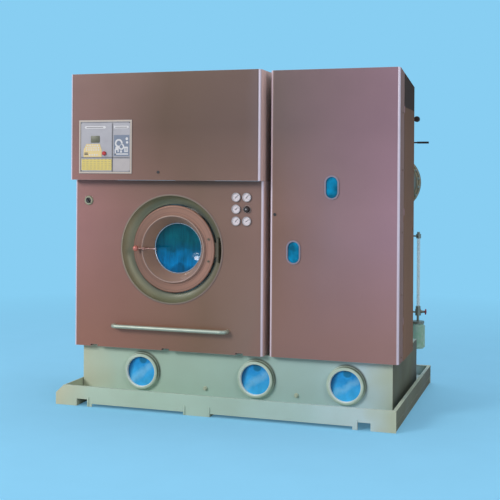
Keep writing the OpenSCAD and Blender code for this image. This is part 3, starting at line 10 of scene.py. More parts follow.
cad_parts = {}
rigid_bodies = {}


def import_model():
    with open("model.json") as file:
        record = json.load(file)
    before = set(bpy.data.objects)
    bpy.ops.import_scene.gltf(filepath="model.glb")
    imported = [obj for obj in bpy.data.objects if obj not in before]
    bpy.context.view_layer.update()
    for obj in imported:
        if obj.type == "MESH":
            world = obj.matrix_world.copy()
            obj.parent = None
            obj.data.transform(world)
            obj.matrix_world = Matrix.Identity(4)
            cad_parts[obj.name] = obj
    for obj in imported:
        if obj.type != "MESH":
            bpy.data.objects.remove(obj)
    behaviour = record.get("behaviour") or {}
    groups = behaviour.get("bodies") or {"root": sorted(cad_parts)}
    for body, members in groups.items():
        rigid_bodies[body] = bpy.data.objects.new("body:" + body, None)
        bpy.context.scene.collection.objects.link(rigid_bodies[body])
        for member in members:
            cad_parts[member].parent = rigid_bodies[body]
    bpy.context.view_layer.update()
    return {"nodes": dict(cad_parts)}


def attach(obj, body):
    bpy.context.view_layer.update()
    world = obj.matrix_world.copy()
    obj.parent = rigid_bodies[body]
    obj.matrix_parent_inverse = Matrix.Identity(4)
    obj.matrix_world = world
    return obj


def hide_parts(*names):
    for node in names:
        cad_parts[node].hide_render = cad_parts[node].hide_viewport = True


for thing in list(bpy.data.objects):
    bpy.data.objects.remove(thing, do_unlink=True)

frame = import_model()
nodes = frame["nodes"]

FRONT, BACK, LEFT, RIGHT, UP = (0, -1, 0), (0, 1, 0), (-1, 0, 0), (1, 0, 0), (0, 0, 1)

# Places of the machine's parts, in metres, as the solids have them
PANEL_FACE = -0.524
DIAL_FACE = PANEL_FACE - 0.004
NEEDLE_FACE = PANEL_FACE - 0.0064
TIMER_FACE = PANEL_FACE - 0.020
PLATE_FACE = -0.5975
PLATE_RIM = PLATE_FACE - 0.0015
PLATE_CORNER = (-0.994, 1.46)
DOOR_CENTRE = (-0.382, 0.984)
NEEDLE_REST = [48, 40, 52, 44, 56]  # degrees clockwise from straight up
GAUGES = [(0.050, 1.318), (0.119, 1.318), (0.050, 1.2445), (0.050, 1.171), (0.119, 1.171)]
TIMER = (0.119, 1.2445)
SWITCH = (-0.959, 1.286)
WINDOWS = (-0.597, 0.170, 0.736)
WINDOW_HEIGHT = 0.195
DRUM_INNER_R = 0.400
FIRST_HOLES = -0.365
VESSEL_AXIS = (0.845, 1.413)
VESSEL_RIM = (0.170, 0.195)
VESSEL_FLANGE = ((0.450, FRONT), (0.480, BACK))
STILL_HATCH = (0.660, 0.824)
HATCH_FACE = -0.484
STILL_NECK = (0.660, -0.224)
NECK_TOP = 1.290
BEARING_FACE = 0.110
FEET_TOP = 0.356
SIDES = (-1.06, 1.063)


# ---- wiring


def srgb(*levels):
    """A colour written as the eye reads it, 0 to 255, as linear light."""
    out = []
    for level in levels:
        c = level / 255
        out.append(c / 12.92 if c <= 0.04045 else ((c + 0.055) / 1.055) ** 2.4)
    return (*out, 1.0)


BACKGROUND_BLUE = (136, 206, 242)


class Wiring:
    """Adds nodes to one tree and joins them."""

    def __init__(self, tree):
        self.tree = tree

    def add(self, kind, links=None, **settings):
        """A new node with these settings; links holds what goes into its sockets."""
        node = self.tree.nodes.new(kind)
        for key, value in settings.items():
            setattr(node, key, value)
        for socket, value in (links or {}).items():
            self.feed(node, socket, value)
        return node

    def out(self, kind, links=None, **settings):
        """A new node's first output."""
        return self.add(kind, links, **settings).outputs[0]

    def feed(self, node, socket, value):
        """Links or sets a socket; colours are given as srgb takes them."""
        target = node.inputs[socket]
        if isinstance(value, bpy.types.NodeSocket):
            self.tree.links.new(value, target)
        else:
            target.default_value = srgb(*value) if target.type == "RGBA" else value

    def maths(self, operation, *values):
        return self.out("ShaderNodeMath", dict(enumerate(values)), operation=operation)

    def times(self, a, b):
        return self.maths("MULTIPLY", a, b)

    def over(self, a, b):
        return self.maths("DIVIDE", a, b)

    def plus(self, a, b):
        return self.maths("ADD", a, b)

    def minus(self, a, b):
        return self.maths("SUBTRACT", a, b)

    def scaled(self, a, by, more):
        return self.maths("MULTIPLY_ADD", a, by, more)

    def positive(self, a):
        return self.maths("ABSOLUTE", a)

    def vector(self, operation, *values):
        return self.out("ShaderNodeVectorMath", dict(enumerate(values)), operation=operation)

    def length(self, vector):
        return self.add("ShaderNodeVectorMath", {0: vector}, operation="LENGTH").outputs["Value"]

    def split(self, vector):
        """The x, y and z of a vector."""
        return tuple(self.add("ShaderNodeSeparateXYZ", {0: vector}).outputs)

    def join(self, x=0.0, y=0.0, z=0.0):
        return self.out("ShaderNodeCombineXYZ", {0: x, 1: y, 2: z})

    def normal(self):
        """The x, y and z of the surface's normal, as the machine's own axes have them."""
        return self.split(self.add("ShaderNodeTexCoord").outputs["Normal"])

    def mix(self, factor, a, b, kind="MIX"):
        links = {0: factor, 6: a, 7: b}
        return self.add("ShaderNodeMix", links, data_type="RGBA", blend_type=kind).outputs[2]

    def brightness(self, colour, value):
        return self.out("ShaderNodeHueSaturation", {"Color": colour, "Value": value})

    def noise(self, vector, scale, detail=3.0, roughness=0.55):
        return self.out("ShaderNodeTexNoise", {
            "Vector": vector, "Scale": scale, "Detail": detail, "Roughness": roughness})

    def remap(self, value, low, high, to_low=0.0, to_high=1.0):
        return self.out("ShaderNodeMapRange", dict(enumerate((value, low, high, to_low, to_high))))

    def cloud(self, vector, scale, detail, to_low=0.0, to_high=1.0, low=0.3, high=0.7):
        """Noise, with its part from low to high stretched to the ends."""
        return self.remap(self.noise(vector, scale, detail), low, high, to_low, to_high)

    def mottled(self, vector, scale, detail, a, b, **part):
        """One colour in another's cloud."""
        return self.mix(self.cloud(vector, scale, detail, **part), a, b)


class Group(Wiring):
    """A node group with inputs as (label, kind, value) and outputs as (label, kind)."""

    def __init__(self, name, kind, inputs, outputs):
        super().__init__(bpy.data.node_groups.new(name, kind))
        for rows, way in ((inputs, "INPUT"), (outputs, "OUTPUT")):
            for label, sort, *value in rows:
                socket = self.tree.interface.new_socket(label, in_out=way, socket_type="NodeSocket" + sort)
                if value:
                    socket.default_value = srgb(*value[0]) if sort == "Color" else value[0]
        self.given = self.add("NodeGroupInput").outputs
        self.end = self.add("NodeGroupOutput")

    def close(self, *values):
        """Feeds the outputs, in their order."""
        for k, value in enumerate(values):
            self.feed(self.end, k, value)
        return self.tree


SKIN = [("Colour", "Color"), ("Roughness", "Float"), ("Height", "Float")]


def shader_group(name, inputs, outputs=SKIN):
    """A group whose effects start from a place vector, and its inputs."""
    w = Group(name, "ShaderNodeTree", [("Vector", "Vector")] + inputs, outputs)
    return w, w.given


# ---- shared effects


def build_painted_sheet():
    """Sprayed paint: cloudy tone, fine flakes, a skin with shallow waves, and dust near the floor."""
    w, g = shader_group("painted_sheet", [
        ("Paint", "Color", (128, 128, 128)), ("Shade", "Color", (90, 90, 90)), ("Cloud Scale", "Float", 1.4),
        ("Cloud Amount", "Float", 0.35), ("Flake", "Float", 0.1), ("Roughness", "Float", 0.4),
        ("Skin", "Float", 0.3), ("Dust", "Float", 0.25)])
    cloud = w.cloud(g["Vector"], g["Cloud Scale"], 2.0, low=0.35, high=0.65)
    toned = w.mix(w.times(cloud, g["Cloud Amount"]), g["Paint"], g["Shade"])
    flakes = w.add("ShaderNodeTexVoronoi", {"Vector": g["Vector"], "Scale": 1400.0}).outputs["Color"]
    sparkle = w.remap(w.out("ShaderNodeSeparateColor", {0: flakes}), 0.0, 1.0, -0.5, 0.5)
    bright = w.brightness(toned, w.scaled(sparkle, g["Flake"], 1.0))
    low = w.remap(w.split(g["Vector"])[2], 0.0, 0.34, 1.0, 0.0)
    patchy = w.cloud(g["Vector"], 9.0, 4.0, low=0.42, high=0.68)
    dust = w.times(w.times(low, patchy), g["Dust"])
    colour = w.mix(dust, bright, (150, 146, 134))
    smear = w.cloud(g["Vector"], 5.0, 3.0, -0.05, 0.05)
    rough = w.plus(w.scaled(dust, 0.35, g["Roughness"]), smear)
    return w.close(colour, rough, w.times(w.noise(g["Vector"], 420.0, 1.0), g["Skin"]))


def build_worked_metal():
    """Bare metal: drawn lines along one way, a cloudy tint and small stains."""
    w, g = shader_group("worked_metal", [
        ("Metal", "Color", (180, 180, 180)), ("Tint", "Color", (140, 135, 130)),
        ("Stretch", "Vector", (1.0, 1.0, 1.0)), ("Line Scale", "Float", 300.0), ("Line Depth", "Float", 0.3),
        ("Stain", "Float", 0.3), ("Roughness", "Float", 0.3)])
    pulled = w.vector("MULTIPLY", g["Vector"], g["Stretch"])
    lines = w.noise(pulled, g["Line Scale"], 3.0, 0.7)
    stain = w.remap(w.noise(g["Vector"], 14.0, 5.0, 0.6), 0.45, 0.75)
    colour = w.mix(w.times(stain, g["Stain"]), g["Metal"], g["Tint"])
    rough = w.scaled(w.remap(lines, 0.3, 0.7, -1.0, 1.0), 0.06, g["Roughness"])
    return w.close(colour, w.scaled(stain, 0.12, rough), w.times(lines, g["Line Depth"]))


def build_moulded_skin():
    """Plastic or rubber: a fine pebbled skin and slightly paler handled patches."""
    w, g = shader_group("moulded_skin", [
        ("Body", "Color", (40, 40, 40)), ("Worn", "Color", (70, 70, 70)), ("Pebble Scale", "Float", 900.0),
        ("Pebble", "Float", 0.3), ("Roughness", "Float", 0.5)])
    patch = w.cloud(g["Vector"], 22.0, 4.0, low=0.4, high=0.75)
    colour = w.mix(w.times(patch, 0.5), g["Body"], g["Worn"])
    rough = w.scaled(patch, -0.12, g["Roughness"])
    return w.close(colour, rough, w.times(w.noise(g["Vector"], g["Pebble Scale"], 1.0), g["Pebble"]))


def build_worn_edge():
    """Where an edge is handled: a mask that is high along sharp corners, broken up by noise."""
    inputs = [("Width", "Float", 0.003), ("Break Up", "Float", 0.5)]
    w, g = shader_group("worn_edge", inputs, [("Mask", "Float")])
    soft = w.out("ShaderNodeBevel", {"Radius": g["Width"]}, samples=4)
    hard = w.add("ShaderNodeNewGeometry").outputs["Normal"]
    facing = w.add("ShaderNodeVectorMath", {0: soft, 1: hard}, operation="DOT_PRODUCT").outputs["Value"]
    edge = w.remap(facing, 0.98, 0.75)
    broken = w.cloud(g["Vector"], 60.0, 4.0, low=0.35, high=0.65)
    left = w.minus(1.0, g["Break Up"])
    return w.close(w.times(edge, w.scaled(broken, g["Break Up"], left)))


PAINTED_SHEET = build_painted_sheet()
WORKED_METAL = build_worked_metal()
MOULDED_SKIN = build_moulded_skin()
WORN_EDGE = build_worn_edge()


# ---- finishes


FINISHES = {}


def blank_finish(name, **plain):
    """A material with its wiring, its shader and its place vector; plain values go on the shader."""
    finish = FINISHES[name] = bpy.data.materials.new(name)
    finish.use_nodes = True
    w = Wiring(finish.node_tree)
    shader = w.tree.nodes["Principled BSDF"]
    for label, value in plain.items():
        shader.inputs[label.replace("_", " ")].default_value = value
    return w, shader, w.add("ShaderNodeTexCoord").outputs["Object"]


def use_group(w, tree, *values):
    """The outputs of a group that gets these values, in the order of its inputs."""
    return w.add("ShaderNodeGroup", dict(enumerate(values)), node_tree=tree).outputs


def apply_skin(w, shader, effect, distance, colour=None, duller_sides=False):
    """Feeds an effect to the shader; sides were sprayed thinner and are duller."""
    rough = effect["Roughness"]
    if duller_sides:
        side = w.remap(w.positive(w.normal()[0]), 0.9, 0.99, 0.0, 0.92)
        rough = w.maths("MAXIMUM", rough, side)
    w.feed(shader, "Base Color", colour or effect["Colour"])
    w.feed(shader, "Roughness", rough)
    w.feed(shader, "Normal", w.out("ShaderNodeBump", {"Height": effect["Height"], "Distance": distance}))


def paint(name, shade, colour=None, tone=None, rough=0.4, cloud=(1.4, 0.35), flake=0.05, skin=0.3, dust=0.25,
          metallic=0.0, coat=0.0, gleam=0.5, worn=None, width=0.003):
    """A sprayed finish in one colour or in a painter's tone; worn is the colour of handled edges."""
    w, shader, place = blank_finish(name, Metallic=metallic, Specular_IOR_Level=gleam, Coat_Weight=coat,
                                    Coat_Roughness=0.12)
    base = tone(w, place) if tone else colour
    effect = use_group(w, PAINTED_SHEET, place, base, shade, *cloud, flake, rough, skin, dust)
    seen = effect["Colour"]
    if worn:
        seen = w.mix(use_group(w, WORN_EDGE, place, width, 0.45)[0], seen, worn)
    apply_skin(w, shader, effect, 0.0006, seen, tone in (bronze_tone, shell_tone, flank_tone, sage_tone))


def metal(name, colour, tint, rough=0.3, stretch=(1.0, 1.0, 1.0), lines=300.0, depth=0.2, stain=0.3,
          metallic=1.0):
    """Bare metal with drawn lines and stains."""
    w, shader, place = blank_finish(name, Metallic=metallic)
    effect = use_group(w, WORKED_METAL, place, colour, tint, stretch, lines, depth, stain, rough)
    apply_skin(w, shader, effect, 0.0004)


def moulded(name, body, worn, rough=0.45, scale=400.0, pebble=0.1, coat=0.0):
    """Plastic, rubber or print with a pebbled skin."""
    w, shader, place = blank_finish(name, Coat_Weight=coat)
    effect = use_group(w, MOULDED_SKIN, place, body, worn, scale, pebble, rough)
    apply_skin(w, shader, effect, 0.0003)


def ramp(w, value, stops):
    """A colour ramp from (place, colour) pairs."""
    node = w.add("ShaderNodeValToRGB", {0: value})
    points = node.color_ramp.elements
    points.remove(points[-1])
    points[0].position = stops[0][0]
    points[0].color = srgb(*stops[0][1])
    for at, colour in stops[1:]:
        points.new(at).color = srgb(*colour)
    return node.outputs[0]


def bands_across(w, across, stops):
    """Tone bands across the machine: stops are (x in metres, colour)."""
    return ramp(w, across, [((x + 1.1) / 2.2, colour) for x, colour in stops])


def rolled_corner_highlight_mask(w, depth):
    """Where highlights are painted: high on the upright front corners of a folded sheet, low on its flat
    faces and behind its front.
    """
    across, forward, _ = w.normal()
    side = w.positive(across)
    band = w.times(w.remap(side, 0.22, 0.5), w.remap(side, 0.985, 0.86))
    front = w.times(w.remap(forward, -0.1, -0.25), w.remap(depth, -0.496, -0.502))
    return w.times(band, front)


def bronze_tone(w, place):
    """The cabinets' bronze sheet: painted sheen as bands across it that change with height, painted shade at
    the upper left, painted light on its right-facing faces, and painted highlights on the rolled corners.
    """
    x, y, z = w.split(place)
    drift = w.cloud(place, 1.3, 2.0, -0.03, 0.03)
    across = w.plus(w.remap(x, -1.1, 1.1), drift)
    # Painted sheen: these bands and their change with height stand in for how light plays over the sheet
    high = bands_across(w, across, [
        (-1.06, (130, 95, 90)), (-0.85, (119, 86, 78)), (-0.40, (90, 64, 48)), (0.10, (102, 77, 69)),
        (0.24, (112, 90, 89)), (0.28, (106, 85, 80)), (0.60, (125, 98, 101)), (1.04, (148, 113, 124))])
    middle = bands_across(w, across, [
        (-1.06, (154, 107, 103)), (-0.70, (140, 99, 90)), (-0.20, (124, 94, 79)), (0.16, (136, 103, 93)),
        (0.28, (131, 96, 83)), (0.60, (144, 113, 116)), (1.04, (162, 124, 135))])
    low = bands_across(w, across, [
        (-1.06, (154, 105, 90)), (-0.70, (148, 102, 86)), (-0.20, (130, 98, 78)), (0.16, (139, 110, 98)),
        (0.28, (146, 108, 97)), (0.60, (151, 112, 105)), (1.04, (160, 119, 114))])
    tone = w.mix(w.remap(z, 0.45, 1.05), low, middle)
    tone = w.mix(w.remap(z, 1.25, 1.75), tone, high)
    # Painted shade: darker towards the upper left of the flap
    corner = w.times(w.remap(z, 1.55, 2.0), w.remap(x, -0.3, -1.0))
    tone = w.mix(w.times(corner, 0.35), tone, (74, 48, 40))
    # Painted light: right-facing faces are paler in the gap between the cabinets and browner further right
    beside = w.mix(w.remap(x, 0.4, 0.9), (226, 190, 182), (142, 104, 93))
    tone = w.mix(w.remap(w.normal()[0], 0.9, 0.99), tone, beside)
    # Painted highlight along the rolled corners
    return w.mix(w.times(rolled_corner_highlight_mask(w, y), 0.85), tone, (244, 228, 242))


def shell_tone(w, place):
    """The service cabinet's shell: brown sides with a slow drift of tone, painted shade that darkens them
    towards the top, and darker painted shade over the upper seam.
    """
    height = w.split(place)[2]
    pulled = w.vector("MULTIPLY", place, (5.0, 5.0, 1.6))
    brown = w.mottled(pulled, 1.0, 2.0, (130, 102, 85), (139, 109, 91))
    # Painted shade: darker towards the top
    brown = w.mix(w.remap(height, 1.0, 1.9, 0.0, 0.6), brown, (96, 70, 58))
    # Painted shade over the upper seam
    over = w.remap(height, 1.866, 1.872)
    return w.mix(w.times(over, 0.85), brown, (46, 32, 28))


def flank_tone(w, place):
    """The side panels: brown, with painted light that makes them paler in the narrow gap beside the service
    cabinet.
    """
    brown = w.mottled(place, 3.0, 3.0, (128, 100, 94), (140, 110, 104))
    # Painted light: paler in the gap
    return w.mix(w.remap(w.split(place)[0], 0.15, 0.21), brown, (255, 222, 218))


def sage_tone(w, place):
    """The tank's and tray's grey-green paint: creamier at its ends, a painted shadow outside each window ring
    towards the upper right, and painted shade on the right side.
    """
    x = w.split(place)[0]
    across = w.plus(w.remap(x, -1.1, 1.1), w.cloud(place, 1.7, 3.0, -0.05, 0.05))
    front = bands_across(w, across, [
        (-1.08, (188, 192, 168)), (-0.86, (174, 198, 184)), (-0.45, (164, 192, 178)), (0.10, (160, 190, 182)),
        (0.60, (164, 196, 197)), (0.95, (180, 206, 214)), (1.08, (176, 188, 170))])
    near, z = from_window(w, place)
    reach = w.length(w.join(w.minus(near, 0.006), w.minus(z, 0.007)))
    # Painted shadow of each window ring, outside it towards the upper right
    ring_shadow_arc = w.times(w.remap(reach, 0.126, 0.116), w.remap(w.plus(near, z), 0.02, 0.10))
    front = w.mix(w.times(ring_shadow_arc, 0.8), front, (58, 52, 40))
    # Painted shade on the tank's right side, a little less on the tray's end beyond it
    side = w.times(w.remap(w.normal()[0], 0.7, 0.95), w.remap(x, 0.95, 1.0))
    tank = w.remap(x, 1.02, 1.0, 0.75, 1.0)
    return w.mix(w.times(side, tank), front, (54, 38, 6))


def from_window(w, place):
    """How far a point is across and up from the middle of the tank window nearest to it."""
    x, _, z = w.split(place)
    near = None
    for centre in WINDOWS:
        away = w.minus(x, centre)
        near = away if near is None else w.out("ShaderNodeMix", {
            0: w.maths("LESS_THAN", w.positive(away), w.positive(near)), 2: near, 3: away},
            data_type="FLOAT")
    return near, w.minus(z, WINDOW_HEIGHT)


def ring_tone(w, place):
    """The window rings: pale green-white, palest inside with a painted highlight strongest towards the lower
    left, and painted shade outside towards the upper right.
    """
    near, z = from_window(w, place)
    reach = w.maths("SQRT", w.plus(w.times(near, near), w.times(z, z)))
    cream = w.mottled(place, 12.0, 3.0, (162, 186, 172), (180, 200, 186), low=0.35, high=0.65)
    across, _, up = w.normal()
    outside = w.remap(w.plus(across, up), 0.25, 0.8)
    # Painted highlight on the inner edge, strongest where it faces up and right
    bore = w.times(w.remap(reach, 0.104, 0.098), w.scaled(outside, 0.6, 0.35))
    cream = w.mix(bore, cream, (236, 246, 240))
    # Painted shade on the outer edge towards the upper right
    outer_edge_shade = w.times(outside, w.remap(reach, 0.108, 0.114))
    return w.mix(w.times(outer_edge_shade, 0.85), cream, (64, 74, 50))


def ring_distance(w, place, centre):
    """How far a point is from an axis that runs front to back through centre (x, z)."""
    moved = w.vector("SUBTRACT", place, (centre[0], 0.0, centre[1]))
    return w.length(w.vector("MULTIPLY", moved, (1.0, 0.0, 1.0)))


def dish_tone(w, place):
    """The dish round the door: green to the left with painted light at the far left, browner to the right,
    and a painted shadow of the disc round its inner edge.
    """
    across = w.plus(w.remap(w.split(place)[0], -0.73, -0.03), w.cloud(place, 2.6, 2.0, -0.08, 0.08))
    x, _, z = w.split(w.vector("SUBTRACT", place, (DOOR_CENTRE[0], 0.0, DOOR_CENTRE[1])))
    reach = ring_distance(w, place, DOOR_CENTRE)
    crossed = w.over(w.times(x, z), w.times(reach, reach))
    # Painted light: the far left of this ramp is lighter
    green = ramp(w, across, [(0.0, (172, 160, 130)), (0.35, (124, 122, 96)), (0.7, (118, 116, 92)),
                             (1.0, (118, 108, 90))])
    # Painted shadow of the disc, strongest to the upper right and lower left
    deep = w.times(w.remap(reach, 0.318, 0.285), w.remap(crossed, -0.35, 0.35, 0.25, 0.85))
    green = w.mix(deep, green, (48, 46, 34))
    return w.mix(w.remap(reach, 0.335, 0.3445), green, (130, 104, 97))


def disc_tone(w, place):
    """The door's spun disc: warm bronze with painted shade that darkens it towards the left, painted light in
    the funnel, two fine turned grooves and a paler raised lip.
    """
    reach = ring_distance(w, place, DOOR_CENTRE)
    bronze = w.mottled(place, 2.2, 2.0, (148, 110, 94), (164, 121, 106))
    # Painted shade: darker towards the left
    across = w.remap(w.split(place)[0], -0.64, -0.12)
    drift = ramp(w, across, [(0.0, (217, 214, 210)), (0.5, (243, 240, 235)), (1.0, (255, 255, 255))])
    bronze = w.mix(1.0, bronze, drift, "MULTIPLY")
    # Painted light in the funnel inside the lip
    bronze = w.mix(w.remap(reach, 0.207, 0.203), bronze, (172, 138, 118))
    lip = w.times(w.remap(reach, 0.202, 0.2055), w.remap(reach, 0.2175, 0.2145))
    tone = w.mix(w.times(lip, 0.75), bronze, (176, 150, 140))
    for groove in (0.2335, 0.2615):
        line = w.remap(w.positive(w.minus(reach, groove)), 0.0022, 0.0008)
        tone = w.mix(w.times(line, 0.5), tone, (92, 72, 64))
    return tone


def lever_tone(w, place):
    """The latch lever: a copper-red ball, a browner rod and a paler tip."""
    return ramp(w, w.remap(w.split(place)[0], -0.66, -0.46), [
        (0.0, (214, 124, 110)), (0.22, (208, 118, 104)), (0.27, (150, 104, 92)), (0.75, (146, 106, 96)),
        (0.82, (196, 178, 182)), (1.0, (202, 192, 200))])


def vessel_tone(w, place):
    """The filter vessel: olive grey, its flange ringed by turned steps, gasket and gap."""
    reach = ring_distance(w, place, VESSEL_AXIS)
    olive = w.mottled(place, 4.0, 3.0, (120, 118, 92), (142, 136, 108))
    rings = ramp(w, w.remap(reach, 0.160, 0.200), [
        (0.0, (132, 128, 102)), (0.24, (70, 62, 46)), (0.32, (196, 190, 166)), (0.50, (150, 146, 120)),
        (0.66, (84, 76, 58)), (0.74, (206, 202, 182)), (0.86, (120, 108, 84)), (1.0, (96, 84, 62))])
    return w.mix(w.remap(reach, VESSEL_RIM[0] - 0.006, VESSEL_RIM[0] - 0.002), olive, rings)


def tinted_glass(name, tone, coat):
    """Glass with a coloured body, which tone paints."""
    w, shader, place = blank_finish(name, Transmission_Weight=0.04, Specular_IOR_Level=0.3, Coat_Weight=coat,
                                    Coat_Roughness=0.02, IOR=1.5)
    w.feed(shader, "Base Color", w.brightness(tone(w, place), w.cloud(place, 18.0, 3.0, 0.85, 1.1)))
    w.feed(shader, "Roughness", w.cloud(place, 30.0, 2.0, 0.02, 0.05))
    ripple = w.noise(place, 25.0, 1.0)
    w.feed(shader, "Normal", w.out("ShaderNodeBump", {"Height": ripple, "Distance": 0.0002}))


def door_glass_tone(w, place):
    """Teal glass with a wet film that runs down it, bright blue where the load lies."""
    runs = w.cloud(w.vector("MULTIPLY", place, (30.0, 30.0, 5.0)), 1.0, 3.0, low=0.38, high=0.64)
    fall = w.plus(w.remap(w.split(place)[2], 1.13, 0.84), w.cloud(place, 14.0, 2.0, -0.10, 0.10))
    down = ramp(w, fall, [(0.0, (0, 84, 100)), (0.30, (0, 92, 108)), (0.52, (0, 88, 124)),
                          (0.62, (0, 110, 164)), (0.82, (0, 132, 204)), (0.95, (0, 92, 146))])
    return w.mix(w.times(runs, 0.55), down, (0, 54, 72))


def window_tone(w, place):
    """The tank windows: blue solvent with a painted slanting gleam, a dark pipe end on top and painted shade
    on the left rim.
    """
    near, z = from_window(w, place)
    wave = w.cloud(place, 16.0, 3.0, -0.16, 0.16)
    slant = w.plus(w.minus(z, w.times(near, 0.7)), w.times(wave, 0.1))
    # Painted reflection: the slanting gleam
    gleam = w.remap(w.positive(w.plus(slant, 0.008)), 0.034, 0.008)
    blue = ramp(w, w.plus(w.remap(z, -0.09, 0.09), wave), [
        (0.0, (72, 182, 242)), (0.5, (58, 170, 238)), (0.85, (34, 142, 214)), (1.0, (20, 118, 182))])
    lit = w.mix(w.times(gleam, 0.5), blue, (138, 204, 244))
    # Painted shade on the left rim
    rim = w.remap(w.plus(near, w.times(z, -0.25)), -0.058, -0.078)
    shaded = w.mix(w.times(rim, 0.75), lit, (10, 72, 126))
    below = w.times(w.maths("MINIMUM", w.minus(z, 0.070), 0.0), 1.3)
    pipe = w.length(w.join(w.minus(near, 0.010), below))
    return w.mix(w.times(w.remap(pipe, 0.030, 0.020), 0.7), shaded, (20, 92, 120))


def sight_tone(w, place):
    """The oval sight glasses: deep teal, with slow darker clouds."""
    return w.mottled(place, 16.0, 3.0, (0, 138, 190), (0, 94, 128), low=0.35, high=0.68)


def clear_cover(name, tint, body):
    """A thin clear wall; body is how much of its own tint shows."""
    w, shader, place = blank_finish(name, Alpha=body, IOR=1.45, Specular_IOR_Level=0.2)
    w.feed(shader, "Base Color", w.mottled(place, 40.0, 2.0, tint, (235, 240, 240), to_high=0.3))
    w.feed(shader, "Roughness", w.cloud(place, 50.0, 2.0, 0.04, 0.14))


paint("base_paint", (140, 158, 138), tone=sage_tone, rough=0.6, cloud=(2.6, 0.2), dust=0.08, gleam=0.3,
      worn=(206, 212, 192), width=0.004)
paint("frame_paint", (96, 112, 104), colour=(120, 138, 128), rough=0.5, worn=(150, 156, 150))
paint("body_paint", (104, 82, 76), tone=bronze_tone, cloud=(1.2, 0.12), flake=0.14, metallic=0.2, coat=0.08,
      gleam=0.35, dust=0.1, worn=(186, 164, 166))
paint("surround_paint", (84, 92, 68), tone=dish_tone, rough=0.5, cloud=(3.0, 0.2), flake=0.1, metallic=0.15,
      coat=0.1)
paint("door_metal", (100, 80, 72), tone=disc_tone, rough=0.45, cloud=(3.0, 0.15), flake=0.14, metallic=0.15,
      coat=0.08, gleam=0.35, worn=(170, 146, 136), width=0.002)
paint("vessel_paint", (104, 104, 86), tone=vessel_tone, rough=0.5, cloud=(3.0, 0.4), worn=(176, 172, 150))
paint("motor_paint", (64, 80, 92), colour=(84, 102, 116), rough=0.45, cloud=(4.0, 0.5), worn=(130, 136, 140))
paint("red_paint", (104, 16, 32), colour=(140, 20, 40), cloud=(30.0, 0.5), worn=(176, 70, 80), width=0.001)
paint("cast_iron", (66, 68, 70), colour=(88, 90, 92), rough=0.55, cloud=(9.0, 0.6), skin=0.9, metallic=0.4,
      worn=(140, 138, 134))
paint("ring_paint", (170, 184, 164), tone=ring_tone, rough=0.5, cloud=(8.0, 0.2), dust=0.05,
      worn=(206, 218, 204), width=0.0015)
paint("plug_paint", (150, 166, 146), colour=(178, 190, 170), rough=0.45, cloud=(20.0, 0.3), dust=0.1,
      worn=(214, 218, 200), width=0.002)
paint("shell_paint", (92, 74, 62), tone=shell_tone, rough=0.7, cloud=(2.0, 0.2), flake=0.1, gleam=0.15,
      dust=0.15, worn=(150, 130, 124), width=0.002)
paint("flank_paint", (106, 86, 80), tone=flank_tone, rough=0.45, cloud=(2.0, 0.2), flake=0.12, metallic=0.2,
      dust=0.15, worn=(176, 154, 154))
paint("lever_copper", (150, 92, 82), tone=lever_tone, rough=0.35, cloud=(20.0, 0.3), flake=0.1, metallic=0.3,
      coat=0.2, worn=(226, 168, 152), width=0.001)
paint("hinge_paint", (74, 68, 54), colour=(96, 86, 70), rough=0.5, cloud=(12.0, 0.4), flake=0.08,
      metallic=0.2, worn=(136, 122, 106), width=0.0015)

metal("steel", (190, 188, 178), (150, 146, 130), rough=0.36, stretch=(0.1, 1.0, 1.0))
metal("stainless", (200, 196, 190), (170, 164, 156), rough=0.36, stretch=(1.0, 0.06, 1.0), metallic=0.75)
metal("pipe_steel", (150, 144, 130), (104, 88, 70), rough=0.45, stain=0.6, metallic=0.7)
metal("galvanized", (176, 180, 182), (146, 150, 154), rough=0.45, lines=60.0, stain=0.7)
metal("dark_metal", (46, 46, 50), (70, 66, 62), rough=0.4, metallic=0.6)
metal("chrome_trim", (206, 200, 204), (172, 164, 168), rough=0.22, depth=0.08, stain=0.2, metallic=0.85)
metal("aluminium", (190, 192, 194), (150, 152, 150), rough=0.36, lines=160.0)
metal("copper", (206, 128, 114), (160, 96, 84), stain=0.25, metallic=0.55)
metal("switch_satin", (150, 146, 124), (118, 114, 96), rough=0.45, lines=200.0, depth=0.1, metallic=0.2)
metal("frame_trim", (150, 132, 142), (120, 104, 112), rough=0.35, depth=0.05, metallic=0.4)
metal("bar_satin", (172, 176, 160), (148, 152, 136), rough=0.42, stretch=(0.03, 1.0, 1.0), lines=260.0,
      stain=0.35, metallic=0.45)
metal("case_satin", (176, 166, 168), (134, 124, 124), rough=0.5, metallic=0.35)
metal("plate_grey", (158, 154, 160), (144, 140, 146), rough=0.45, stretch=(0.06, 1.0, 1.0), metallic=0.2)

moulded("legend", (212, 214, 214), (196, 198, 196), rough=0.35, scale=600.0)
moulded("dial_white", (226, 216, 226), (206, 196, 208), rough=0.5, scale=500.0, pebble=0.05)
moulded("red_plastic", (176, 30, 30), (196, 64, 56), rough=0.35, scale=900.0, pebble=0.3, coat=0.3)
moulded("dark_plastic", (44, 34, 32), (70, 58, 54), rough=0.42, scale=900.0, pebble=0.3)
moulded("knob_brown", (40, 20, 12), (58, 34, 24), rough=0.55, scale=900.0, pebble=0.3)
moulded("rubber", (30, 30, 31), (52, 52, 52), rough=0.7, scale=500.0, pebble=0.6)
moulded("overlay_white", (206, 206, 210), (190, 190, 196), scale=600.0, pebble=0.08)
moulded("overlay_yellow", (206, 188, 106), (192, 170, 88), rough=0.5, scale=600.0)
moulded("overlay_cream", (214, 192, 138), (200, 176, 120), rough=0.5, scale=600.0)
moulded("overlay_blue", (112, 122, 142), (98, 108, 130), scale=600.0)
moulded("overlay_pale", (172, 166, 168), (160, 154, 158), scale=600.0)
moulded("overlay_glass", (104, 102, 84), (84, 86, 70), rough=0.5, scale=200.0, pebble=0.02)
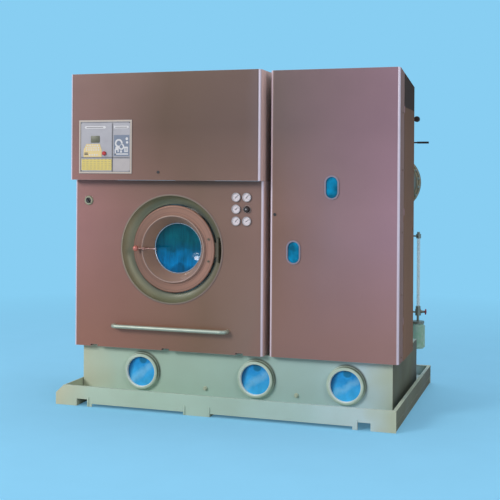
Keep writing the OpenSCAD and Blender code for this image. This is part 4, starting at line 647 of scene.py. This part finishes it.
moulded("border_cream", (186, 174, 164), (174, 162, 152), rough=0.6)
moulded("print_dark", (58, 52, 54), (74, 68, 68), rough=0.55)
moulded("print_grey", (120, 116, 124), (134, 130, 136), rough=0.55)
moulded("needle_black", (26, 24, 38), (40, 38, 52), rough=0.6)
# Painted shade for the drum's holes
moulded("hole_dark", (14, 14, 15), (24, 24, 25), rough=0.85, pebble=0.2)

tinted_glass("sight_glass", window_tone, coat=0.1)
tinted_glass("door_glass", door_glass_tone, coat=0.15)
tinted_glass("slot_sight", sight_tone, coat=0.08)
clear_cover("lens", (240, 240, 244), 0.14)
clear_cover("jar_glass", (160, 206, 176), 0.5)
clear_cover("tube_glass", (230, 232, 224), 0.26)

# Solids whose finish differs from that of their slot
NODE_FINISH = {
    "sight_glasses": "slot_sight",
    "control_plate": "plate_grey",
    "cabinet_shell": "shell_paint",
    "side_panels": "flank_paint",
    "hinge_arm": "hinge_paint",
    "hinge_bracket": "hinge_paint",
    "sight_frames": "frame_trim",
    "bar_handle": "bar_satin",
    "latch_lever": "lever_copper",
    "switch_bezel": "switch_satin",
    "window_rings": "ring_paint",
    "drain_plugs": "plug_paint",
    "gauge_cases": "case_satin",
    "timer_knob": "knob_brown",
}

for name, piece in nodes.items():
    slot = piece.data.materials[0].name.split(".")[0]
    piece.data.materials.clear()
    piece.data.materials.append(FINISHES[NODE_FINISH.get(name, slot)])


# ---- mesh building


def placed(name, data, finish=None):
    """A new object in the scene, with its finish."""
    thing = bpy.data.objects.new(name, data)
    bpy.context.collection.objects.link(thing)
    if finish:
        data.materials.append(FINISHES[finish])
    return thing


def round_points(radius, steps, turn=0.0):
    """Places evenly round a circle, as (across, up) pairs."""
    angles = [turn + 2 * math.pi * k / steps for k in range(steps)]
    return [(radius * math.cos(a), radius * math.sin(a)) for a in angles]


class Shape:
    """Collects faces in one mesh, in metres, in the machine's frame."""

    def __init__(self):
        self.mesh = bmesh.new()

    def turned(self, profile, centre, axis=(0, 0, 1), steps=32):
        """A form turned round an axis, from (radius, height) pairs."""
        turn = Vector((0, 0, 1)).rotation_difference(Vector(axis)).to_matrix().to_4x4()
        place = Matrix.Translation(centre) @ turn
        rings = []
        for radius, height in profile:
            points = round_points(radius, steps) if radius else [(0, 0)]
            rings.append([self.mesh.verts.new(place @ Vector((*point, height))) for point in points])
        for lower, upper in zip(rings, rings[1:]):
            for k in range(steps):
                n = (k + 1) % steps
                if len(lower) == 1:
                    self.mesh.faces.new((lower[0], upper[n], upper[k]))
                elif len(upper) == 1:
                    self.mesh.faces.new((lower[k], lower[n], upper[0]))
                else:
                    self.mesh.faces.new((lower[k], lower[n], upper[n], upper[k]))
        return self

    def plate(self, outline, y_front, y_back):
        """A flat plate that faces the front, from its outline in x and z."""
        front = [self.mesh.verts.new((x, y_front, z)) for x, z in outline]
        back = [self.mesh.verts.new((x, y_back, z)) for x, z in outline]
        self.mesh.faces.new(front)
        self.mesh.faces.new(list(reversed(back)))
        for k in range(len(outline)):
            n = (k + 1) % len(outline)
            self.mesh.faces.new((front[k], back[k], back[n], front[n]))
        return self

    def to_mesh(self, name):
        """The mesh, with its normals outward."""
        bmesh.ops.recalc_face_normals(self.mesh, faces=self.mesh.faces)
        mesh = bpy.data.meshes.new(name)
        self.mesh.to_mesh(mesh)
        self.mesh.free()
        return mesh

    def done(self, name, finish, body, slot, bevel=0.0, smooth=True, stands_for=()):
        """Makes the object, gives it its finish and puts it on its body."""
        thing = placed(name, self.to_mesh(name), finish)
        if bevel:
            rounding = thing.modifiers.new("rounded edges", "BEVEL")
            rounding.width = bevel
            rounding.segments = 2
            rounding.limit_method = "ANGLE"
            freeze(thing)
        if smooth:
            for face in thing.data.polygons:
                face.use_smooth = True
            thing.data.set_sharp_from_angle(angle=math.radians(35))
        settle(thing, body, stands_for)


def freeze(thing):
    """Turns an object and its modifiers into a plain mesh object of the same name."""
    view = bpy.context.evaluated_depsgraph_get()
    view.update()
    old, mesh = thing.data, bpy.data.meshes.new_from_object(thing.evaluated_get(view))
    thing.modifiers.clear()
    thing.data = mesh
    mesh.name = thing.name
    bpy.data.meshes.remove(old)


def settle(thing, body, stands_for=()):
    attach(thing, body)
    if stands_for:
        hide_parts(*stands_for)


# ---- what repeats


class GeometryTree(Group):
    """A geometry node tree that ends in Realize Instances and Set Material."""

    def __init__(self, name, inputs):
        inputs = inputs + [("Finish", "Material")]
        super().__init__(name, "GeometryNodeTree", inputs, [("Geometry", "Geometry")])

    def place_along(self, count, at):
        """Points on a line, moved to where at puts them."""
        line = self.out("GeometryNodeMeshLine", {"Count": count})
        return self.out("GeometryNodeSetPosition", {"Geometry": line, "Position": at})

    def facing(self, way):
        """The turn that points z along a way."""
        return self.out("FunctionNodeAlignRotationToVector", {"Vector": way}, axis="Z")

    def repeat(self, piece, points, turn, scale=(1.0, 1.0, 1.0)):
        """Puts the piece on every point and ends the tree."""
        many = self.out("GeometryNodeInstanceOnPoints", {
            "Points": points, "Instance": piece, "Rotation": turn, "Scale": scale})
        real = self.out("GeometryNodeRealizeInstances", {0: many})
        links = {"Geometry": real, "Material": self.given["Finish"]}
        return self.close(self.out("GeometryNodeSetMaterial", links))


def tree_of_fitted_pieces():
    """One small piece on every mark of a carrier mesh, turned to face as the mark says."""
    t = GeometryTree("fitted_pieces", [
        ("Geometry", "Geometry"), ("Piece", "Object"), ("Size", "Float", 1.0), ("Seed", "Int", 7)])
    facing = t.out("GeometryNodeInputNamedAttribute", {"Name": "facing"}, data_type="FLOAT_VECTOR")
    chance = t.add("FunctionNodeRandomValue", {3: 6.283, "Seed": t.given["Seed"]}, data_type="FLOAT")
    own = t.out("FunctionNodeEulerToRotation", {0: t.join(z=chance.outputs[1])})
    whole = t.out("FunctionNodeRotateRotation", {0: t.facing(facing), 1: own}, rotation_space="LOCAL")
    piece = t.add("GeometryNodeObjectInfo", {0: t.given["Piece"]}).outputs["Geometry"]
    return t.repeat(piece, t.given["Geometry"], whole, t.given["Size"])


def tree_of_drum_holes():
    """Staggered rows of dark round discs over the drum's inner wall, painted shade that stands in for its
    holes.
    """
    t = GeometryTree("drum_holes", [
        ("Centre", "Vector"), ("Wall Radius", "Float", 0.4), ("Row Pitch", "Float", 0.02),
        ("Around", "Int", 110), ("Rows", "Int", 20), ("Hole Radius", "Float", 0.004)])
    g = t.given
    index = t.out("GeometryNodeInputIndex")
    row = t.maths("FLOOR", t.over(t.plus(index, 0.5), g["Around"]))
    column = t.minus(index, t.times(row, g["Around"]))
    half = t.times(t.maths("MODULO", row, 2.0), 0.5)
    angle = t.times(t.over(t.plus(column, half), g["Around"]), 2 * math.pi)
    c, s = t.maths("COSINE", angle), t.maths("SINE", angle)
    reach = t.join(t.times(c, g["Wall Radius"]), t.times(row, g["Row Pitch"]), t.times(s, g["Wall Radius"]))
    points = t.place_along(t.times(g["Around"], g["Rows"]), t.vector("ADD", reach, g["Centre"]))
    inward = t.join(t.times(c, -1.0), 0.0, t.times(s, -1.0))
    hole = t.out("GeometryNodeMeshCircle", {"Vertices": 8, "Radius": g["Hole Radius"]}, fill_type="NGON")
    return t.repeat(hole, points, t.facing(inward))


def tree_of_scale_marks():
    """Short marks round a dial that faces the front, every fifth one longer."""
    t = GeometryTree("scale_marks", [
        ("Centre", "Vector"), ("Radius", "Float", 0.02), ("Marks", "Int", 26), ("Sweep", "Float", 4.71),
        ("Length", "Float", 0.0025), ("Width", "Float", 0.0006)])
    g = t.given
    index = t.out("GeometryNodeInputIndex")
    step = t.over(g["Sweep"], t.minus(g["Marks"], 1.0))
    angle = t.minus(t.times(index, step), t.times(g["Sweep"], 0.5))
    major = t.maths("COMPARE", t.maths("MODULO", index, 5.0), 0.0, 0.1)
    length = t.times(g["Length"], t.scaled(major, 0.8, 1.0))
    out = t.minus(g["Radius"], t.times(length, 0.5))
    reach = t.join(t.times(t.maths("SINE", angle), out), 0.0, t.times(t.maths("COSINE", angle), out))
    points = t.place_along(g["Marks"], t.vector("ADD", reach, g["Centre"]))
    bar = t.out("GeometryNodeMeshCube", {"Size": t.join(g["Width"], 0.0002, 1.0)})
    return t.repeat(bar, points, t.join(0.0, angle), t.join(1.0, 1.0, length))


FITTED_PIECES = tree_of_fitted_pieces()
DRUM_HOLES = tree_of_drum_holes()
SCALE_MARKS = tree_of_scale_marks()


def grown(name, tree, values, finish, body, carrier=None):
    """Runs a geometry tree with these inputs and keeps its result as a plain mesh."""
    thing = placed(name, carrier or bpy.data.meshes.new(name))
    step = thing.modifiers.new(tree.name, "NODES")
    step.node_group = tree
    sockets = {row.name: row.identifier for row in tree.interface.items_tree if row.in_out == "INPUT"}
    for label, value in {**values, "Finish": FINISHES[finish]}.items():
        step[sockets[label]] = value
    thing.update_tag()
    freeze(thing)
    settle(thing, body)


def pattern_piece(name, profile, steps):
    """A small turned piece at the origin, for the trees to repeat; it is taken out again at the end."""
    return placed(name, Shape().turned(profile, (0, 0, 0), steps=steps).to_mesh(name))


# Heads stand on z = 0 and reach up
HEX_HEAD = pattern_piece("hex_head", [
    (0, -0.0005), (0.0065, -0.0005), (0.0065, 0.0038), (0.0055, 0.0045), (0, 0.0045)], 6)
ROUND_HEAD = pattern_piece("round_head", [
    (0, -0.0005), (0.0042, -0.0005), (0.0042, 0.0006), (0.0033, 0.0017), (0.0014, 0.0022), (0, 0.0022)], 10)
KEY_CAP = pattern_piece("key_cap", [(0, -0.0002), (0.0058, -0.0002), (0.0054, 0.0007), (0, 0.0009)], 12)


def fit_pieces(name, piece, size, marks, finish, body="machine"):
    """Fits a piece to each mark, a place with the way it faces."""
    carrier = bpy.data.meshes.new("marks")
    carrier.from_pydata([at for at, facing in marks], [], [])
    held = carrier.attributes.new("facing", "FLOAT_VECTOR", "POINT")
    for k, (at, facing) in enumerate(marks):
        held.data[k].vector = facing
    grown(name, FITTED_PIECES, {"Piece": piece, "Size": size, "Seed": 7}, finish, body, carrier)


# ---- control plate


def plate_point(x, z):
    """A place on the control plate, in millimetres from its lower left corner."""
    return PLATE_CORNER[0] + x / 1000, PLATE_CORNER[1] + z / 1000


def clipped(corner, *rows):
    """Rectangles on the plate with clipped corners, from (x, z, width, height) in millimetres."""
    c = corner
    return [[plate_point(*p) for p in (
        (x + c, z), (x + w - c, z), (x + w, z + c), (x + w, z + h - c),
        (x + w - c, z + h), (x + c, z + h), (x, z + h - c), (x, z + c))] for x, z, w, h in rows]


def disc(x, z, radius):
    return [plate_point(x + across, z + up) for across, up in round_points(radius, 20)]


def printed(name, finish, layers, slot="legend", **more):
    """Flat prints on the plate, from (outlines, front, back); depths are millimetres in front of its face."""
    shape = Shape()
    for outlines, front, back in layers:
        for outline in outlines:
            shape.plate(outline, PLATE_FACE - front / 1000, PLATE_FACE - back / 1000)
    shape.done(name, finish, "upper_flap", slot, **more)


def control_overlays():
    """The plate's printed fields, keys, display and flow picture, all without words."""
    field = 1.2
    strips = clipped(6, (40, 286, 150, 16)) + clipped(3, (246, 286, 102, 16))
    printed("overlay_strips", "overlay_white", [(strips, field, 0)], stands_for=("panel_overlays",))
    display = clipped(3, (84, 196, 62, 44))
    printed("overlay_display", "overlay_glass", [(display, 2.4, 0)], "lens", bevel=0.0004)
    keypad = [plate_point(*p) for p in ((32, 104), (160, 104), (160, 150), (146, 188), (52, 188), (32, 150))]
    for name, finish, outlines in (
            ("overlay_yellow_field", "overlay_yellow", clipped(2, (18, 20, 212, 72))),
            ("overlay_keypad", "overlay_cream", [keypad]),
            ("overlay_flow_field", "overlay_blue", clipped(2, (246, 112, 106, 132))),
            ("overlay_bare_label", "overlay_pale", clipped(2, (240, 18, 118, 76)))):
        printed(name, finish, [(outlines, field, 0)])

    # The flow picture: vessels as discs, each a little higher than the last where they meet, and pipes
    vessels = (280, 192, 27), (298, 170, 20), (268, 160, 12), (336, 220, 9), (338, 197, 8)
    pipes = clipped(1.5, (252, 120, 8, 34), (252, 120, 94, 7), (318, 136, 26, 34), (272, 136, 8, 22),
                    (290, 132, 12, 14))
    printed("flow_picture", "overlay_white",
            [([disc(*vessel)], field + 0.3 + 0.04 * k, field) for k, vessel in enumerate(vessels)]
            + [(pipes, field + 0.25, field)], smooth=False)
    bores = [disc(280, 192, 16), disc(298, 170, 11)]
    joints = clipped(0.8, (262, 186, 34, 3), (300, 176, 3, 18), (322, 142, 18, 3), (322, 150, 18, 3),
                     (322, 158, 18, 3))
    printed("flow_picture_lines", "overlay_blue",
            [(bores, field + 0.55, field + 0.2), (joints, field + 0.62, field)], smooth=False)

    rows = clipped(0.6, *((x, z, 16, 2) for z in range(28, 90, 12) for x in range(26, 226, 26)))
    titles = clipped(1.5, (52, 291, 118, 5), (254, 291, 84, 5))
    printed("printed_marks", "print_grey", [(rows + titles, field + 0.2, field)], smooth=False)
    lines = clipped(0.5, (38, 118, 26, 6), (38, 127, 26, 6), (232, 12, 1.8, 306), (237, 12, 1.6, 306),
                    (14, 98, 342, 1.8), (14, 103, 342, 1.6), (10, 10, 350, 1.8), (10, 324, 350, 1.8),
                    (10, 12, 1.8, 312), (359, 12, 1.8, 312))
    printed("printed_lines", "print_dark", [(lines, 1.4, 0)], "dark_plastic", smooth=False)
    rim = 1000 * (PLATE_FACE - PLATE_RIM)
    border = clipped(0.3, (1, 1, 368, 9), (1, 330, 368, 9), (1, 10, 9, 320), (360, 10, 9, 320))
    printed("plate_border", "border_cream", [(border, rim + 0.3, rim - 0.2)], smooth=False)

    keys = []
    for z, columns, shift in ((178, 5, 0), (164, 6, 0), (150, 6, 0), (118, 4, 6)):
        for k in range(columns):
            x, height = plate_point(96 + (k - (columns - 1) / 2) * 17 + shift, z)
            keys.append(((x, PLATE_FACE - field / 1000, height), FRONT))
    fit_pieces("keypad_keys", KEY_CAP, 0.9, keys, "overlay_white", "upper_flap")
    corners = [plate_point(x, z) for x in (17, 353) for z in (17, 323)]
    fit_pieces("plate_screws", ROUND_HEAD, 0.75, [((x, PLATE_FACE, z), FRONT) for x, z in corners],
               "dark_metal", "upper_flap")


# ---- dials


def number_mesh(words, size, at):
    """Plain figures that face the front, as one mesh."""
    curve = bpy.data.curves.new("figure", "FONT")
    curve.body = words
    curve.size = size
    curve.align_x = curve.align_y = "CENTER"
    curve.extrude = 0.00006
    thing = placed("figure", curve)
    thing.rotation_euler = (math.pi / 2, 0, 0)
    thing.location = at
    bpy.context.view_layer.update()
    mesh = bpy.data.meshes.new_from_object(thing.evaluated_get(bpy.context.evaluated_depsgraph_get()))
    mesh.transform(thing.matrix_world)
    bpy.data.objects.remove(thing)
    bpy.data.curves.remove(curve)
    return mesh


def scale_marks(name, centre, radius, count, sweep, length, width, finish="overlay_white"):
    grown(name, SCALE_MARKS, {"Centre": centre, "Radius": radius, "Marks": count, "Sweep": sweep,
                              "Length": length, "Width": width}, finish, "machine")


def gauge_figures(name, x, z):
    """The even numbers from 0 to 10 round a dial."""
    figures = bmesh.new()
    for n in range(6):
        angle = math.radians(-135 + 54 * n)
        at = (x + 0.0152 * math.sin(angle), DIAL_FACE - 0.00012, z + 0.0152 * math.cos(angle))
        figure = number_mesh(str(2 * n), 0.0048, at)
        figures.from_mesh(figure)
        bpy.data.meshes.remove(figure)
    mesh = bpy.data.meshes.new(name)
    figures.to_mesh(mesh)
    figures.free()
    mesh.materials.clear()
    settle(placed(name, mesh, "print_dark"), "machine")


def needle_blade(k, x, z):
    """A bolder blade on a needle, at the angle that it rests at."""
    turn = math.radians(NEEDLE_REST[k])
    c, s = math.cos(turn), math.sin(turn)
    half = [(0.0022, -0.0095), (0.0020, 0.0), (0.0011, 0.0195)]
    whole = half + [(-across, along) for across, along in reversed(half)]
    outline = [(x + across * c + along * s, z - across * s + along * c) for across, along in whole]
    Shape().plate(outline, NEEDLE_FACE - 0.00005, NEEDLE_FACE + 0.00075).done(
        f"needle_blade_{k + 1}", "needle_black", f"needle_{k + 1}", "dark_plastic", smooth=False)


def dial_scales():
    """Marks and plain figures on the five gauges, and marks beside the timer and the switch."""
    for k, (x, z) in enumerate(GAUGES):
        scale_marks(f"gauge_marks_{k + 1}", (x, DIAL_FACE - 0.0001, z), 0.0225, 26, 4.712, 0.0022, 0.0006,
                    "print_dark")
        gauge_figures(f"gauge_figures_{k + 1}", x, z)
        needle_blade(k, x, z)
    cap = [(0, 0), (0.0042, 0), (0.0042, 0.0012), (0.0032, 0.0018), (0, 0.0018)]
    knob_end = Shape().turned(cap, (TIMER[0], TIMER_FACE, TIMER[1]), FRONT)
    knob_end.done("timer_cap", "case_satin", "timer_knob", "steel")
    scale_marks("timer_marks", (TIMER[0], PANEL_FACE, TIMER[1]), 0.0255, 13, 5.236, 0.0042, 0.0018)
    scale_marks("switch_marks", (SWITCH[0], PANEL_FACE, SWITCH[1]), 0.038, 2, 1.571, 0.004, 0.0012)


# ---- drum and cabinets


def drum_details():
    """Dark discs over the drum's inner wall: painted shade in place of its holes."""
    grown("drum_perforation", DRUM_HOLES,
          {"Centre": (DOOR_CENTRE[0], FIRST_HOLES, DOOR_CENTRE[1]), "Wall Radius": DRUM_INNER_R - 0.0003,
           "Row Pitch": 0.0205, "Around": 116, "Rows": 21, "Hole Radius": 0.0042},
          "hole_dark", "drum")


def marks_at(xs, ys, zs, facing):
    """A mark for every place in a grid."""
    return [((x, y, z), facing) for x in xs for y in ys for z in zs]


def sheet_fasteners():
    """Screws that hold the sheets, seen from the sides."""
    columns = (-0.44, -0.02)
    left = marks_at([SIDES[0]], columns, (0.37, 0.72, 1.07, 1.39), LEFT)
    left += marks_at([SIDES[0]], columns, (1.45, 1.78, 2.06), LEFT)
    fit_pieces("left_side_screws", ROUND_HEAD, 1.3, left, "steel")
    right = marks_at([SIDES[1]], columns, (0.38, 0.75, 1.12, 1.49, 1.83), RIGHT)
    fit_pieces("right_side_screws", ROUND_HEAD, 1.3, right, "shell_paint")


def switch_escutcheon():
    """A thin satin plate round the main switch."""
    ring = Shape().turned([
        (0.0215, 0.0), (0.0215, 0.0032), (0.0240, 0.0040), (0.0300, 0.0036), (0.0312, 0.0020),
        (0.0312, 0.0), (0.0215, 0.0)], (SWITCH[0], PANEL_FACE, SWITCH[1]), FRONT, steps=48)
    ring.done("switch_escutcheon", "switch_satin", "machine", "steel")


def bolt_circle(centre, reach, count, first, y, facing):
    """Marks on a circle round an axis that runs front to back, from an angle in degrees."""
    places = round_points(reach, count, math.radians(first))
    return [((centre[0] + across, y, centre[1] + up), facing) for across, up in places]


def vessel_bolts():
    """Bolts round the filter vessel's flange, from both sides."""
    reach = sum(VESSEL_RIM) / 2
    marks = [bolt_circle(VESSEL_AXIS, reach, 20, 9, y, way) for y, way in VESSEL_FLANGE]
    fit_pieces("vessel_flange_bolts", HEX_HEAD, 1.3, [mark for pair in zip(*marks) for mark in pair], "steel")


def inner_bolts():
    """Bolts on the still's hatch and neck, the bearing's flange, and the feet of the motor and the pump."""
    marks = bolt_circle(STILL_HATCH, 0.101, 12, 15, HATCH_FACE, FRONT)
    marks += [((STILL_NECK[0] + across, STILL_NECK[1] + back, NECK_TOP), UP)
              for across, back in round_points(0.083, 6)]
    marks += bolt_circle(DOOR_CENTRE, 0.138, 12, 15, BEARING_FACE, BACK)
    marks += marks_at((-0.172, -0.028), (0.095, 0.212), [FEET_TOP], UP)
    marks += marks_at((0.316, 0.638), (0.178, 0.332), [FEET_TOP], UP)
    fit_pieces("inner_bolts", HEX_HEAD, 1.2, marks, "galvanized")


def tray_fins():
    """Small upright fins that stiffen the tray's front wall beside its feet."""
    shape = Shape()
    for x in (-0.207, -0.047, -0.853, 0.853):
        left, right = x - 0.005, x + 0.005
        shape.plate([(left, 0.001), (right, 0.001), (right, 0.058), (left, 0.058)], -0.7295, -0.7235)
    shape.done("tray_fins", "base_paint", "machine", "base_paint", bevel=0.0012)


control_overlays()
dial_scales()
drum_details()
sheet_fasteners()
switch_escutcheon()
vessel_bolts()
inner_bolts()
tray_fins()


# ---- floor, light and camera


def shown_directly(w):
    """High for rays from the camera, and for those that metal and glass pass on."""
    ray = w.add("ShaderNodeLightPath").outputs
    passed_on = w.plus(ray["Is Glossy Ray"], ray["Is Transmission Ray"])
    return w.maths("MINIMUM", w.plus(ray["Is Camera Ray"], passed_on), 1.0)


def floor_finish():
    """Pale blue paper that holds the machine's shadow, and far out runs into the even blue of the air."""
    w, shader, place = blank_finish("pale_paper", Roughness=0.9, Specular_IOR_Level=0.1)
    tone = w.cloud(place, 3.0, 3.0, 0.985, 1.015)
    w.feed(shader, "Base Color", w.brightness((138, 204, 240), tone))
    grey = w.out("ShaderNodeBsdfDiffuse", {"Color": (200, 206, 210)})
    even = w.out("ShaderNodeEmission", {"Color": BACKGROUND_BLUE, "Strength": 1.0})
    far = w.remap(w.length(place), 1.6, 6.0, 0.25, 1.0)
    paper = w.out("ShaderNodeMixShader", {0: far, 1: shader.outputs[0], 2: even})
    whole = w.out("ShaderNodeMixShader", {0: shown_directly(w), 1: grey, 2: paper})
    w.feed(w.tree.nodes["Material Output"], "Surface", whole)


def studio():
    """A wide pale floor, open on all sides."""
    sheet = bmesh.new()
    sheet.faces.new([sheet.verts.new((x, y, -0.0005)) for x, y in round_points(60, 64)])
    mesh = bpy.data.meshes.new("studio_floor")
    sheet.to_mesh(mesh)
    sheet.free()
    floor_finish()
    floor = placed("studio_floor", mesh, "pale_paper")


def lamp(name, place, aim, size, power, colour=(1, 1, 1)):
    data = bpy.data.lights.new(name, "AREA")
    data.shape = "RECTANGLE"
    data.size, data.size_y = size
    data.energy = power
    data.color = colour
    thing = placed(name, data)
    thing.location = place
    thing.rotation_euler = (Vector(aim) - Vector(place)).to_track_quat("-Z", "Y").to_euler()


def light():
    """A soft key from the left, a fill, a top light, a small glint for the door's glass and an even air."""
    lamp("soft_key", (-6.6, -9.4, 5.8), (0, -0.2, 0.9), (4.0, 3.4), 830, (1.0, 0.97, 0.93))
    lamp("soft_fill", (6.4, -5.2, 3.6), (0.2, 0, 1.0), (2.4, 3.4), 110, (1.0, 0.96, 0.93))
    lamp("soft_top", (0.4, 0.6, 7.0), (0, 0, 0.8), (5.0, 4.0), 200)
    lamp("glint", (-2.50, -6.22, 0.42), (-0.33, -0.39, 0.93), (0.024, 0.036), 0.14)
    world = bpy.data.worlds.new("studio_air")
    bpy.context.scene.world = world
    world.use_nodes = True
    w = Wiring(world.node_tree)
    air = world.node_tree.nodes["Background"]
    air.inputs["Color"].default_value = (0.97, 0.97, 1.0, 1)
    air.inputs["Strength"].default_value = 0.42
    even = w.out("ShaderNodeBackground", {"Color": BACKGROUND_BLUE, "Strength": 1.0})
    both = w.out("ShaderNodeMixShader", {0: shown_directly(w), 1: air.outputs[0], 2: even})
    w.feed(world.node_tree.nodes["World Output"], "Surface", both)


def camera():
    """The camera that the photo's straight edges gave."""
    data = bpy.data.cameras.new("photo_camera")
    data.lens = 70.3
    data.sensor_width = 36.0
    data.shift_y = -0.144
    data.clip_end = 60
    thing = placed("photo_camera", data)
    turn = Matrix.Identity(4)
    for degrees, axis in ((18.05, "Z"), (90, "X"), (0.372, "Z")):
        turn = turn @ Matrix.Rotation(math.radians(degrees), 4, axis)
    thing.matrix_world = Matrix.Translation((1.995, -6.223, 1.437)) @ turn
    bpy.context.scene.camera = thing


for pattern in (HEX_HEAD, ROUND_HEAD, KEY_CAP):
    bpy.data.objects.remove(pattern)

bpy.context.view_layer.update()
studio()
light()
camera()
bpy.context.scene.view_settings.view_transform = "Standard"
